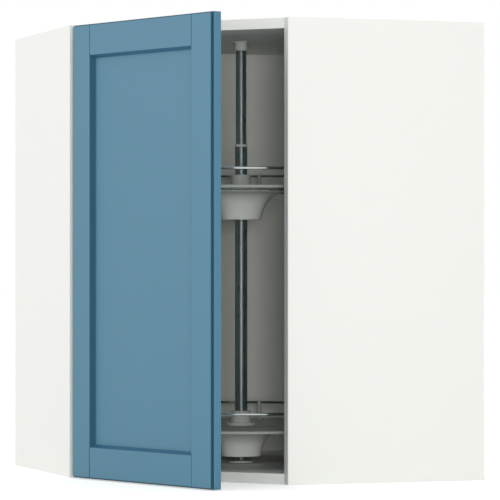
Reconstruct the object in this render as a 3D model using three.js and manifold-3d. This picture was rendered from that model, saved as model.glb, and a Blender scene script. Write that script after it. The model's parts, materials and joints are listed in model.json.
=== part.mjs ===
// Corner wall cabinet with a diagonal door and two turning trays on one pole.
// Millimetres, +Z up. The origin is on the pole's axis, level with the underside.
// The room's walls are on the -X side and on the +Y side. The door is modelled ajar.
import * as THREE from 'three';
import { mergeVertices } from 'three/addons/utils/BufferGeometryUtils.js';
import Module from 'manifold-3d';

const wasm = await Module();
wasm.setup();

// ---------------------------------------------------------------- driving dimensions

// What seats on or beside something else keeps this clearance.
const SEAT_GAP = 0.3;

// Cutting tools run this far past the face that they open.
const PAST = 1;

// Small chamfers on moulded edges.
const EDGE = 1;

// Carcass boards
const CARCASS_HEIGHT = 800;
const SIDE_DEPTH = 366;
const BOARD = 18;
const BACK_BOARD = 4;
const BACK_SETBACK = 14;
const GROOVE_DEPTH = 6;
const BATTEN_SIDE = 32;

// Board joints
const DOWEL_RADIUS = 4;
const DOWEL_HALF_LENGTH = 14;
const DOWEL_DEPTH_IN_SIDE = 11;
const DOWEL_SPACING = 128;
const DOWELS_PER_JOINT = 3;

// Wall brackets
const BRACKET_THICKNESS = 2.5;
const BRACKET_LENGTH = 52;
const BRACKET_HEIGHT = 58;
const BRACKET_FROM_TOP = 10;
const BRACKET_TONGUE = 15;
const BRACKET_HOOK_DROP = 14;
const BRACKET_HOOK_WIDTH = 4;
const BRACKET_SCREW_SPACING = 34;
const WALL_CLEARANCE = 1.5;

// Door
const DOOR_WIDTH = 397;
const DOOR_SIDE_INSET = 13.632;
const DOOR_END_GAP = 1.5;
const DOOR_THICKNESS = 20.1;
const DOOR_OPEN_DEG = 25.6;
const DOOR_STAND_OFF = 6.33;
const STILE_WIDTH = 52;
const RAIL_HEIGHT = 53;
const QUIRK_WIDTH = 2;
const QUIRK_DEPTH = 4.6;
const BEVEL_RUN = 4.5;
const RECESS_DEPTH = 9.5;
const DOOR_PANEL = 6;
const PANEL_TONGUE = 9;
const TENON_LENGTH = 24;
const TENON_RADIUS = 3;
const TENON_FROM_REAR = 6;
const TENON_SPACING = 24;
const BUMPER_RADIUS = 4;
const BUMPER_TIP_RADIUS = 3.2;
const BUMPER_FROM_END = 30;

// Door hinges: the pin stands in the cup, near the door's hinge-side rear corner
const PIN_FROM_DOOR_END = 9;
const PIN_FROM_DOOR_REAR = 8.5;
const HINGE_FROM_DOOR_END = 100;
const CUP_RADIUS = 17.5;
const CUP_EDGE_MARGIN = 3;
const CUP_WALL = 1.2;
const CUP_FLOOR = 1;
const CUP_BORE_DEPTH = 13;
const CUP_FLANGE = 1.4;
const CUP_EAR_WIDTH = 14;
const CUP_SCREW_SPACING = 48;
const LUG_THICKNESS = 2;
const LUG_RADIUS = 3;
const HINGE_PIN_RADIUS = 1.5;
const KNUCKLE_RADIUS = 2.7;
const ARM_WIDTH = 11.4;
const NOSE_THICKNESS = 2.6;
const NOSE_OVER = 17.4;
const NOSE_TURN = 21.6;
const NOSE_DROP = 9.1;
const NOSE_FOOT = 13.6;
const ARM_WALL = 1.6;
const ARM_LENGTH = 78;
const ARM_DEPTH = 12;
const ARM_RISE = 24;
const PLATE_THICKNESS = 3;
const PLATE_HEIGHT = 50;
const PLATE_LENGTH = 20;
const PLATE_SCREW_FROM_FRONT = 37;
const PLATE_SCREW_SPACING = 32;
const ARM_SCREW_FROM_PLATE = 16;
const BOSS_INSET = 4;
const CAP_WALL = 1.2;
const CAP_LENGTH = 62;

// Pole
const LOWER_TUBE_RADIUS = 11.2;
const LOWER_TUBE_WALL = 1.4;
const LOWER_TUBE_TOP = 590;
const UPPER_TUBE_RADIUS = 9.5;
const UPPER_TUBE_WALL = 1.5;
const TUBE_OVERLAP = 160;
const LOCK_SCREW_BELOW_TOP = 18;
const LOCK_DIRECTION_DEG = 135;
const COLLAR_HEIGHT = 5;
const FOOT_RADIUS = 22.5;
const FOOT_THICKNESS = 3;
const FOOT_SPIGOT = 22;
const FOOT_HOLLOW_RADIUS = 5;
const CROWN_HEIGHT = 17;
const CROWN_RADIUS = 11.2;
const CROWN_FLANGE_RADIUS = 14;
const CROWN_FLANGE = 2.4;
const CROWN_STUB_RADIUS = 5;
const CROWN_STUB = 9;

// Trays
const TRAY_DOOR_GAP = 4.9;
const LOWER_TRAY_FLOOR = 84.8;
const UPPER_TRAY_FLOOR = 512.8;
const TRAY_SKIN = 2.6;
const TRAY_RIM_HEIGHT = 5;
const TRAY_RIM_WIDTH = 2.4;
const TRAY_BEAD_RADIUS = 62;
const TRAY_BEAD_WIDTH = 5;
const TRAY_BEAD_HEIGHT = 0.8;
const RAIL_WIRE_RADIUS = 2.4;
const RAIL_INSET = 4.5;
const RAIL_ABOVE_FLOOR = 31.7;
const POST_COUNT = 3;
const POST_PHASE_DEG = 152.4;
const POST_RADIUS = 4.2;
const POST_TOP_RADIUS = 3.6;
const POST_CROWN = 1;
const HUB_RADIUS = 18.6;
const HUB_TOP_RADIUS = 17.9;
const HUB_RISE = 21.5;
const HUB_FLANGE_RADIUS = 27.3;
const HUB_FLANGE = 5.6;
const HUB_NECK_RADIUS = 16;
const HUB_NECK_DEPTH = 34;
const POLE_RUNNING_GAP = 0.5;
const CONE_MOUTH_RADIUS = 36;
const CONE_TOP_RADIUS = 88;
const CONE_WAIST_RADIUS = 43;
const CONE_WALL = 2.2;
const CONE_DEPTH = 54.8;
const NUT_RADIUS = 24;
const NUT_HEIGHT = 4;
const NUT_FLATS = 12;
const WASHER_THICKNESS = 1.5;
const WASHER_RADIUS = 15;
const HEIGHT_RING_RADIUS = 17;
const HEIGHT_RING_HEIGHT = 11;

// Screws: head and shank sizes
const WOOD_SCREW = { head: 4, headHeight: 1.8, shank: 1.7, length: 12 };
const SMALL_SCREW = { head: 3.2, headHeight: 1.4, shank: 1.4, length: 7 };
const LOCK_SCREW = { head: 2.6, headHeight: 1.2, shank: 1.2, length: LOWER_TUBE_WALL };
const BUMPER_PEG = { shank: 1.5, length: 5 };

// Facets round a full turn
const TRAY_FACETS = 60;
const HUB_FACETS = 32;
const POLE_FACETS = 24;
const PIN_FACETS = 12;
const SCREW_FACETS = 8;
const CONE_STEPS = 6;
const WIRE_FACETS = 6;

// ---------------------------------------------------------------- derived places

// The plan is square but for its front corner. Its side along each wall follows from the
// side panels' depth and from the door, which stands in from both ends of the diagonal.
const FRONT_LENGTH = DOOR_WIDTH + 2 * DOOR_SIDE_INSET;
const WALL_SIDE = SIDE_DEPTH + FRONT_LENGTH * Math.SQRT1_2;
const HALF_PLAN = WALL_SIDE / 2;
const INNER_SIDE = HALF_PLAN - BOARD;
const CEILING = CARCASS_HEIGHT - BOARD;
const FRONT_SHIFT = SIDE_DEPTH - HALF_PLAN;
const BACK_FACE = HALF_PLAN - BACK_SETBACK;
const BACK_INNER = BACK_FACE - BACK_BOARD;

// The diagonal front: t runs from the left corner to the right one, n points outwards.
const frontPoint = (t, n) => new THREE.Vector2(
  FRONT_SHIFT + (t + n) * Math.SQRT1_2,
  -HALF_PLAN + (t - n) * Math.SQRT1_2,
);
const FRONT_FROM_POLE = SIDE_DEPTH * Math.SQRT1_2;
const BOARD_FRONT_N = -BOARD * Math.SQRT1_2;

// The door's rear stands off the boards' front edges.
const DOOR_REAR_N = BOARD_FRONT_N + DOOR_STAND_OFF;
const PIN_T = DOOR_SIDE_INSET + PIN_FROM_DOOR_END;
const PIN_N = DOOR_REAR_N + PIN_FROM_DOOR_REAR;
const PIN_PLACE = frontPoint(PIN_T, PIN_N);
const HINGE_LEVELS = {
  lower: DOOR_END_GAP + HINGE_FROM_DOOR_END,
  upper: CARCASS_HEIGHT - DOOR_END_GAP - HINGE_FROM_DOOR_END,
};

const TRAY_RADIUS = FRONT_FROM_POLE + DOOR_REAR_N - TRAY_DOOR_GAP;
const RAIL_RADIUS = TRAY_RADIUS - RAIL_INSET;
const POLE_BORE = LOWER_TUBE_RADIUS + POLE_RUNNING_GAP;
const TRAY_FLOORS = { lower: LOWER_TRAY_FLOOR, upper: UPPER_TRAY_FLOOR };

// ---------------------------------------------------------------- materials

const finish = (color, roughness, metalness = 0) => () => (
  new THREE.MeshStandardMaterial({ color, roughness, metalness })
);
const WHITE_FOIL = finish(0xf0f1ec, 0.5);
const BACK_FOIL = finish(0xd9dbd6, 0.6);
const BLUE_PAINT = finish(0x648da3, 0.45);
const CHROME = finish(0xc8cccd, 0.15, 1);
const STEEL = finish(0xa9adae, 0.35, 1);
const ZINC = finish(0x8f9394, 0.45, 1);
const GREY_PLASTIC = finish(0x858c88, 0.5);
const DARK_TRAY = finish(0x4b534c, 0.4);
const CLEAR_BUMPER = finish(0xd5dadb, 0.3);

// ---------------------------------------------------------------- solids

function solidOf(geometry) {
  const bare = geometry.clone();
  bare.deleteAttribute('normal');
  bare.deleteAttribute('uv');
  const merged = mergeVertices(bare, 1e-4);
  const mesh = new wasm.Mesh({
    numProp: 3,
    vertProperties: new Float32Array(merged.attributes.position.array),
    triVerts: new Uint32Array(merged.index.array),
  });
  return new wasm.Manifold(mesh);
}

function geometryOf(solid) {
  const mesh = solid.getMesh();
  const geometry = new THREE.BufferGeometry();
  geometry.setAttribute('position', new THREE.BufferAttribute(mesh.vertProperties, 3));
  geometry.setIndex(new THREE.BufferAttribute(mesh.triVerts, 1));
  geometry.computeVertexNormals();
  return geometry;
}

const join = (solids) => solids.reduce((sum, next) => sum.add(next));
const cut = (solid, tools) => tools.reduce((rest, tool) => rest.subtract(tool), solid);

// A box from its limits along each axis.
function block([x0, x1], [y0, y1], [z0, z1]) {
  const geometry = new THREE.BoxGeometry(x1 - x0, y1 - y0, z1 - z0);
  geometry.translate((x0 + x1) / 2, (y0 + y1) / 2, (z0 + z1) / 2);
  return solidOf(geometry);
}

// A cylinder along Z from z0 to z1, which may taper.
function rod(radius, z0, z1, facets = POLE_FACETS, topRadius = radius) {
  const geometry = new THREE.CylinderGeometry(topRadius, radius, z1 - z0, facets);
  geometry.rotateX(Math.PI / 2);
  geometry.translate(0, 0, (z0 + z1) / 2);
  return solidOf(geometry);
}

// A body turned about Z from a closed outline of [radius, height] points.
function turned(outline, facets) {
  const points = [...outline, outline[0]].map(([r, z]) => new THREE.Vector2(r, z));
  const geometry = new THREE.LatheGeometry(points, facets);
  geometry.rotateX(Math.PI / 2);
  const solid = solidOf(geometry);
  return solid.volume() < 0 ? flipped(geometry) : solid;
}

function flipped(geometry) {
  const index = geometry.index.array;
  for (let i = 0; i < index.length; i += 3) {
    [index[i], index[i + 1]] = [index[i + 1], index[i]];
  }
  return solidOf(geometry);
}

// A flat plate whose outline lies in XY, from z0 to z1.
function plate(outline, z0, z1) {
  const shape = new THREE.Shape(outline);
  const geometry = new THREE.ExtrudeGeometry(shape, { depth: z1 - z0, bevelEnabled: false });
  geometry.translate(0, 0, z0);
  return solidOf(geometry);
}

const turnX = (solid, degrees) => solid.rotate([degrees, 0, 0]);
const turnY = (solid, degrees) => solid.rotate([0, degrees, 0]);
const turnZ = (solid, degrees) => solid.rotate([0, 0, degrees]);
const move = (solid, x, y, z) => solid.translate([x, y, z]);

// A screw that points down -Z, with the underside of its head at the origin.
function screw({ head, headHeight, shank, length }) {
  return rod(head, 0, headHeight, SCREW_FACETS).add(
    rod(shank, -length, headHeight / 2, SCREW_FACETS),
  );
}

// The hole that takes such a screw's shank.
function screwHole({ shank, length }, above = 0) {
  return rod(shank + SEAT_GAP, -length - SEAT_GAP, above, SCREW_FACETS);
}

// Copies of a solid at equal steps round Z.
const around = (solid, count, phase = 0) => Array.from(
  { length: count },
  (_, i) => turnZ(solid, phase + (360 * i) / count),
);

function mesh(name, solid, material) {
  const node = new THREE.Mesh(geometryOf(solid), material());
  node.name = name;
  return node;
}

// ---------------------------------------------------------------- carcass

// The two ends of each five-sided board, seen from the side panel that it meets.
const BOARD_ENDS = ['left', 'right'];
const BOARD_LEVELS = { bottom: BOARD / 2, top: CARCASS_HEIGHT - BOARD / 2 };
const JOINT_CENTRE = -HALF_PLAN + SIDE_DEPTH / 2;
const JOINT_OFFSETS = Array.from(
  { length: DOWELS_PER_JOINT },
  (_, i) => (i - (DOWELS_PER_JOINT - 1) / 2) * DOWEL_SPACING,
);

// Places a solid, made along +X from a joint's face into the board, at one end of a board.
// The left end's board runs to +Y from the left side, the right end's to -X.
function atBoardEnd(solid, end, level, offset) {
  const z = BOARD_LEVELS[level];
  if (end === 'left') {
    return move(turnZ(solid, 90), JOINT_CENTRE + offset, -INNER_SIDE, z);
  }
  return move(turnZ(solid, 180), INNER_SIDE, -JOINT_CENTRE + offset, z);
}

const alongX = (radius, x0, x1, facets) => turnY(rod(radius, x0, x1, facets), 90);

// A dowel is glued into the board and reaches into the side panel, on -X.
const dowel = () => alongX(DOWEL_RADIUS, -DOWEL_DEPTH_IN_SIDE, DOWEL_HALF_LENGTH, PIN_FACETS);
const dowelHole = () => alongX(
  DOWEL_RADIUS + SEAT_GAP,
  -DOWEL_DEPTH_IN_SIDE - SEAT_GAP,
  PAST,
  PIN_FACETS,
);

const atJoints = (maker, end, level) => (
  JOINT_OFFSETS.map((offset) => atBoardEnd(maker(), end, level, offset))
);

// The five-sided outline of the top and bottom boards between the side panels.
function boardOutline() {
  return [
    new THREE.Vector2(-HALF_PLAN, -INNER_SIDE + SEAT_GAP),
    new THREE.Vector2(FRONT_SHIFT, -INNER_SIDE + SEAT_GAP),
    new THREE.Vector2(INNER_SIDE - SEAT_GAP, -FRONT_SHIFT),
    new THREE.Vector2(INNER_SIDE - SEAT_GAP, HALF_PLAN),
    new THREE.Vector2(-HALF_PLAN, HALF_PLAN),
  ];
}

// Grooves for the back boards, cut by the back boards' own outline grown by the gap.
const BACK_Z = [BOARD - GROOVE_DEPTH, CEILING + GROOVE_DEPTH];
const BACK_ACROSS = [-BACK_FACE, -BACK_INNER];
const BACK_ALONG = [-INNER_SIDE - GROOVE_DEPTH, HALF_PLAN - BATTEN_SIDE + GROOVE_DEPTH];
const grown = ([low, high]) => [low - SEAT_GAP, high + SEAT_GAP];
const mirrored = ([low, high]) => [-high, -low];

// The left back board lies across X and runs along Y. The right one is its mirror image
// in the plan's rear diagonal, so that x becomes -y and y becomes -x.
const backBlocks = {
  left: (grow) => block(grow(BACK_ACROSS), grow(BACK_ALONG), grow(BACK_Z)),
  right: (grow) => block(mirrored(grow(BACK_ALONG)), mirrored(grow(BACK_ACROSS)), grow(BACK_Z)),
};
const backGrooves = () => [backBlocks.left(grown), backBlocks.right(grown)];

function sidePanel(end) {
  const across = [-HALF_PLAN, -INNER_SIDE];
  const along = [-HALF_PLAN, FRONT_SHIFT];
  const board = end === 'left'
    ? block(along, across, [0, CARCASS_HEIGHT])
    : block(mirrored(across), mirrored(along), [0, CARCASS_HEIGHT]);
  const holes = Object.keys(BOARD_LEVELS).flatMap((level) => atJoints(dowelHole, end, level));
  const hingeHoles = Object.keys(HINGE_LEVELS).flatMap((level) => (
    hingePlateScrewPlaces(level).map((place) => place(screwHole(WOOD_SCREW)))
  ));
  return cut(board, [
    ...holes,
    ...backGrooves(),
    ...bracketPegHoles(end),
    ...(end === 'left' ? hingeHoles : []),
  ]);
}

function fiveSidedBoard(level) {
  const [z0, z1] = level === 'top' ? [CEILING, CARCASS_HEIGHT] : [0, BOARD];
  const fittingHole = level === 'top' ? crownStubHole() : footScrewPlace(screwHole(WOOD_SCREW));
  const board = cut(plate(boardOutline(), z0, z1), [...backGrooves(), fittingHole]);
  return join([board, ...BOARD_ENDS.flatMap((end) => atJoints(dowel, end, level))]);
}

function cornerBatten() {
  const inner = HALF_PLAN - BATTEN_SIDE;
  const post = block(
    [-HALF_PLAN, -inner],
    [inner, HALF_PLAN],
    [BOARD + SEAT_GAP, CEILING - SEAT_GAP],
  );
  return cut(post, backGrooves());
}

// ---------------------------------------------------------------- wall brackets

const BRACKET_TOP = CEILING - BRACKET_FROM_TOP;
const BRACKET_MID = BRACKET_TOP - BRACKET_HEIGHT / 2;
const BRACKET_REAR = BACK_INNER - SEAT_GAP;
const BRACKET_SCREW_X = BRACKET_REAR - BRACKET_LENGTH / 2;

// The left bracket's outline, u towards the wall and v up.
function bracketOutline() {
  const hookEnd = HALF_PLAN - WALL_CLEARANCE;
  const hookFront = hookEnd - BRACKET_HOOK_WIDTH;
  const tongueTop = BRACKET_MID + BRACKET_TONGUE / 2;
  const tongueFoot = BRACKET_MID - BRACKET_TONGUE / 2;
  return [
    [BRACKET_REAR - BRACKET_LENGTH, BRACKET_TOP - BRACKET_HEIGHT],
    [BRACKET_REAR, BRACKET_TOP - BRACKET_HEIGHT],
    [BRACKET_REAR, tongueFoot],
    [hookFront, tongueFoot],
    [hookFront, tongueFoot - BRACKET_HOOK_DROP],
    [hookEnd, tongueFoot - BRACKET_HOOK_DROP],
    [hookEnd, tongueTop],
    [BRACKET_REAR, tongueTop],
    [BRACKET_REAR, BRACKET_TOP],
    [BRACKET_REAR - BRACKET_LENGTH, BRACKET_TOP],
  ].map(([u, v]) => new THREE.Vector2(u, v));
}

// Stands a plate made in (u, v) with its thickness along w on a side panel's inner face.
// u runs towards the wall, and w = 0 lies on the panel's face. The right side's piece is
// the left one's mirror image.
function onSide(solid, end) {
  if (end === 'left') return move(turnZ(turnX(solid, 90), 180), 0, -INNER_SIDE, 0);
  return move(turnZ(turnX(solid.mirror([0, 0, 1]), 90), 90), INNER_SIDE, 0, 0);
}

// A peg made along -Z stands at u, v on the bracket with its head at height w.
const onBracket = (u, v, w) => (solid) => move(solid, u, v, w);

function bracketPegs() {
  return [-1, 1].map((side) => onBracket(
    BRACKET_SCREW_X,
    BRACKET_MID + side * BRACKET_SCREW_SPACING / 2,
    SEAT_GAP + BRACKET_THICKNESS,
  ));
}

// The bracket comes with its two pegs riveted in.
function hangingBracket(end) {
  const body = plate(bracketOutline(), SEAT_GAP, SEAT_GAP + BRACKET_THICKNESS);
  const pegs = bracketPegs().map((place) => place(screw(WOOD_SCREW)));
  return onSide(join([body, ...pegs]), end);
}

const bracketPegHoles = (end) => bracketPegs().map((place) => (
  onSide(place(screwHole(WOOD_SCREW)), end)
));

// The slot in a back board that the bracket's tongue passes through.
function bracketSlot(end) {
  const slot = block(
    [BACK_INNER - PAST, BACK_FACE + PAST],
    [BRACKET_MID - BRACKET_TONGUE / 2 - SEAT_GAP, BRACKET_MID + BRACKET_TONGUE / 2 + SEAT_GAP],
    [-GROOVE_DEPTH, BRACKET_THICKNESS + 2 * SEAT_GAP],
  );
  return onSide(slot, end);
}

const backPanel = (end) => backBlocks[end]((limits) => limits).subtract(bracketSlot(end));

// ---------------------------------------------------------------- door hinges, fixed half

// The arm's straight part, seen in plan beside the left side panel's inner face.
const ARM_SCREW_X = FRONT_SHIFT - PLATE_SCREW_FROM_FRONT;
const ARM_OUTER_Y = -INNER_SIDE + ARM_RISE;
const ARM_INNER_Y = ARM_OUTER_Y - ARM_DEPTH;
const NOSE_PATH = [
  [0, 0],
  [NOSE_OVER, 0],
  [NOSE_TURN, -NOSE_DROP],
  [NOSE_TURN, -NOSE_FOOT],
].map(([t, n]) => frontPoint(PIN_T + t, PIN_N + n));
const ARM_FRONT_X = NOSE_PATH[3].x;
const ARM_REAR_X = ARM_FRONT_X - ARM_LENGTH;

// A strip of even thickness along a path, as a closed outline.
function stripOutline(path, thickness) {
  const half = thickness / 2;
  const normals = path.slice(1).map((point, i) => {
    const along = point.clone().sub(path[i]).normalize();
    return new THREE.Vector2(-along.y, along.x);
  });
  const offset = path.map((point, i) => {
    const before = normals[Math.max(i - 1, 0)];
    const after = normals[Math.min(i, normals.length - 1)];
    const mitre = before.clone().add(after).normalize();
    return mitre.multiplyScalar(half / mitre.dot(after));
  });
  const left = path.map((point, i) => point.clone().add(offset[i]));
  const right = path.map((point, i) => point.clone().sub(offset[i])).reverse();
  return [...left, ...right];
}

function hingeArm(level) {
  const z = HINGE_LEVELS[level];
  const half = ARM_WIDTH / 2;
  const toBody = new THREE.Vector2(ARM_FRONT_X - ARM_WALL, ARM_OUTER_Y - NOSE_THICKNESS / 2);
  const nose = plate(stripOutline([...NOSE_PATH, toBody], NOSE_THICKNESS), z - half, z + half);
  const knuckle = move(rod(KNUCKLE_RADIUS, z - half, z + half, PIN_FACETS), PIN_PLACE.x, PIN_PLACE.y, 0);
  const body = block(
    [ARM_REAR_X, ARM_FRONT_X - ARM_WALL],
    [ARM_INNER_Y, ARM_OUTER_Y],
    [z - half, z + half],
  );
  const channel = block(
    [ARM_REAR_X - PAST, ARM_FRONT_X - 2 * ARM_WALL],
    [ARM_INNER_Y - PAST, ARM_OUTER_Y - ARM_WALL],
    [z - half + ARM_WALL, z + half - ARM_WALL],
  );
  const bore = move(
    rod(HINGE_PIN_RADIUS + SEAT_GAP, z - ARM_WIDTH, z + ARM_WIDTH, PIN_FACETS),
    PIN_PLACE.x,
    PIN_PLACE.y,
    0,
  );
  return cut(join([body.subtract(channel), nose, knuckle]), [bore, armScrewPlace(level)(
    screwHole(SMALL_SCREW, PAST),
  )]);
}

function hingePlate(level) {
  const z = HINGE_LEVELS[level];
  const foot = -INNER_SIDE + SEAT_GAP;
  const wing = block(
    [ARM_SCREW_X - PLATE_LENGTH / 2, ARM_SCREW_X + PLATE_LENGTH / 2],
    [foot, foot + PLATE_THICKNESS],
    [z - PLATE_HEIGHT / 2, z + PLATE_HEIGHT / 2],
  );
  const bossHalf = ARM_WIDTH / 2 - ARM_WALL - SEAT_GAP;
  const boss = block(
    [ARM_REAR_X + BOSS_INSET, ARM_SCREW_X + PLATE_LENGTH],
    [foot, ARM_OUTER_Y - ARM_WALL - SEAT_GAP],
    [z - bossHalf, z + bossHalf],
  );
  const screws = hingePlateScrewPlaces(level).map((place) => place(screw(WOOD_SCREW)));
  return join([wing, boss, ...screws]).subtract(armScrewPlace(level)(screwHole(SMALL_SCREW)));
}

// The screws that a hinge plate comes with, set into the side panel.
function hingePlateScrewPlaces(level) {
  return [-1, 1].map((side) => (solid) => move(
    turnX(solid, -90),
    ARM_SCREW_X,
    -INNER_SIDE + SEAT_GAP + PLATE_THICKNESS,
    HINGE_LEVELS[level] + side * PLATE_SCREW_SPACING / 2,
  ));
}

// The screw that holds an arm to its plate.
const armScrewPlace = (level) => (solid) => move(
  turnX(solid, -90),
  ARM_SCREW_X - ARM_SCREW_FROM_PLATE,
  ARM_OUTER_Y + SEAT_GAP,
  HINGE_LEVELS[level],
);

// A cap that clips over the arm.
function hingeCap(level) {
  const z = HINGE_LEVELS[level];
  const half = ARM_WIDTH / 2 + SEAT_GAP;
  const roof = ARM_OUTER_Y + 2 * SEAT_GAP + SMALL_SCREW.headHeight;
  const outside = block(
    [ARM_REAR_X, ARM_REAR_X + CAP_LENGTH],
    [ARM_INNER_Y + ARM_DEPTH / 2, roof + CAP_WALL],
    [z - half - CAP_WALL, z + half + CAP_WALL],
  );
  const inside = block(
    [ARM_REAR_X - PAST, ARM_REAR_X + CAP_LENGTH + PAST],
    [ARM_INNER_Y, roof],
    [z - half, z + half],
  );
  return outside.subtract(inside);
}

// ---------------------------------------------------------------- door, in its own frame

// The door's frame has its origin on the hinge axis, +X towards the free edge and
// +Y into the cabinet. Heights are those of the cabinet.
const DOOR_X = [-PIN_FROM_DOOR_END, DOOR_WIDTH - PIN_FROM_DOOR_END];
const DOOR_REAR = PIN_FROM_DOOR_REAR;
const DOOR_FRONT = DOOR_REAR - DOOR_THICKNESS;
const DOOR_Z = [DOOR_END_GAP, CARCASS_HEIGHT - DOOR_END_GAP];
const FRAME_X = [DOOR_X[0] + STILE_WIDTH, DOOR_X[1] - STILE_WIDTH];
const FRAME_Z = [DOOR_Z[0] + RAIL_HEIGHT, DOOR_Z[1] - RAIL_HEIGHT];
const CUP_X = DOOR_X[0] + CUP_EDGE_MARGIN + CUP_RADIUS;
const PANEL_FRONT = DOOR_FRONT + RECESS_DEPTH;
const PANEL_REAR = PANEL_FRONT + DOOR_PANEL;

// The opening in the door's frame: bevelled in front of the panel, straight behind it.
function frameOpening() {
  const outline = (grow) => [
    [FRAME_X[0] - grow, FRAME_Z[0] - grow],
    [FRAME_X[1] + grow, FRAME_Z[0] - grow],
    [FRAME_X[1] + grow, FRAME_Z[1] + grow],
    [FRAME_X[0] - grow, FRAME_Z[1] + grow],
  ];
  const wedge = new THREE.BufferGeometry();
  const ring = (grow, y) => outline(grow).flatMap(([x, z]) => [x, y, z]);
  const slope = BEVEL_RUN / RECESS_DEPTH;
  wedge.setAttribute('position', new THREE.Float32BufferAttribute([
    ...ring(PAST * slope, DOOR_FRONT - PAST),
    ...ring(-BEVEL_RUN, PANEL_FRONT),
  ], 3));
  wedge.setIndex([
    0, 1, 2, 0, 2, 3, 4, 6, 5, 4, 7, 6,
    0, 5, 1, 0, 4, 5, 1, 6, 2, 1, 5, 6,
    2, 7, 3, 2, 6, 7, 3, 4, 0, 3, 7, 4,
  ]);
  const behind = block(
    FRAME_X,
    [PANEL_REAR + SEAT_GAP, DOOR_REAR + PAST],
    FRAME_Z,
  );
  return [solidOf(wedge), behind];
}

const DOOR_PANEL_X = [FRAME_X[0] - PANEL_TONGUE, FRAME_X[1] + PANEL_TONGUE];
const DOOR_PANEL_Z = [FRAME_Z[0] - PANEL_TONGUE, FRAME_Z[1] + PANEL_TONGUE];

const doorPanel = () => block(DOOR_PANEL_X, [PANEL_FRONT, PANEL_REAR], DOOR_PANEL_Z);
const doorPanelGroove = () => block(
  grown(DOOR_PANEL_X),
  grown([PANEL_FRONT, PANEL_REAR]),
  grown(DOOR_PANEL_Z),
);

// The step that runs round the door's front edge.
function doorQuirk() {
  const whole = block(
    [DOOR_X[0] - PAST, DOOR_X[1] + PAST],
    [DOOR_FRONT - PAST, DOOR_FRONT + QUIRK_DEPTH],
    [DOOR_Z[0] - PAST, DOOR_Z[1] + PAST],
  );
  const kept = block(
    [DOOR_X[0] + QUIRK_WIDTH, DOOR_X[1] - QUIRK_WIDTH],
    [DOOR_FRONT - 2 * PAST, DOOR_FRONT + QUIRK_DEPTH + PAST],
    [DOOR_Z[0] + QUIRK_WIDTH, DOOR_Z[1] - QUIRK_WIDTH],
  );
  return whole.subtract(kept);
}

// Dowels glued into the rails' ends, two at each of the frame's corners.
const RAIL_LEVELS = {
  bottom: DOOR_Z[0] + RAIL_HEIGHT / 2,
  top: DOOR_Z[1] - RAIL_HEIGHT / 2,
};
const tenonPlaces = (level) => FRAME_X.flatMap((x) => [-1, 1].map((side) => (solid) => move(
  solid,
  x,
  DOOR_REAR - TENON_FROM_REAR,
  RAIL_LEVELS[level] + side * TENON_SPACING / 2,
)));
const tenon = () => alongX(TENON_RADIUS, -TENON_LENGTH / 2, TENON_LENGTH / 2, PIN_FACETS);
const tenonHole = () => alongX(
  TENON_RADIUS + SEAT_GAP,
  -TENON_LENGTH / 2 - SEAT_GAP,
  TENON_LENGTH / 2 + SEAT_GAP,
  PIN_FACETS,
);

// Everything that is cut from the door's stiles and rails.
function doorCuts() {
  const hinges = Object.values(HINGE_LEVELS).flatMap((z) => [
    move(turnX(rod(CUP_RADIUS + SEAT_GAP, 0, CUP_BORE_DEPTH + PAST), 90), CUP_X, DOOR_REAR + PAST, z),
    ...cupScrewPlaces(z).map((place) => place(screwHole(SMALL_SCREW))),
  ]);
  const bumpers = Object.keys(BOARD_LEVELS).map((level) => (
    bumperPlace(level)(screwHole(BUMPER_PEG))
  ));
  return [
    ...frameOpening(),
    doorPanelGroove(),
    doorQuirk(),
    ...hinges,
    ...bumpers,
  ];
}

function stile(x0) {
  const tenonHoles = Object.keys(RAIL_LEVELS).flatMap((level) => (
    tenonPlaces(level).map((place) => place(tenonHole()))
  ));
  const blank = block([x0, x0 + STILE_WIDTH], [DOOR_FRONT, DOOR_REAR], DOOR_Z);
  return cut(blank, [...doorCuts(), ...tenonHoles]);
}

function doorRail(level) {
  const blank = block(
    [FRAME_X[0] + SEAT_GAP, FRAME_X[1] - SEAT_GAP],
    [DOOR_FRONT, DOOR_REAR],
    [RAIL_LEVELS[level] - RAIL_HEIGHT / 2, RAIL_LEVELS[level] + RAIL_HEIGHT / 2],
  );
  return join([
    cut(blank, doorCuts()),
    ...tenonPlaces(level).map((place) => place(tenon())),
  ]);
}

// Bumpers close against the front edges of the top and bottom boards.
const BUMPER_HEIGHT = DOOR_STAND_OFF - SEAT_GAP;
const bumperPlace = (level) => (solid) => move(
  turnX(solid, -90),
  DOOR_X[1] - BUMPER_FROM_END,
  DOOR_REAR,
  BOARD_LEVELS[level],
);

function doorBumper(level) {
  const peg = rod(BUMPER_PEG.shank, -BUMPER_PEG.length, SEAT_GAP * 2, SCREW_FACETS);
  const dome = rod(BUMPER_RADIUS, SEAT_GAP, BUMPER_HEIGHT, PIN_FACETS, BUMPER_TIP_RADIUS);
  return bumperPlace(level)(peg.add(dome));
}

// ---------------------------------------------------------------- door hinges, moving half

const CUP_MOUTH = DOOR_REAR + SEAT_GAP;
const CUP_BASE = DOOR_REAR - CUP_BORE_DEPTH + SEAT_GAP;

function cupScrewPlaces(z) {
  return [-1, 1].map((side) => (solid) => move(
    turnX(solid, -90),
    CUP_X,
    DOOR_REAR,
    z + side * CUP_SCREW_SPACING / 2,
  ));
}

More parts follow.
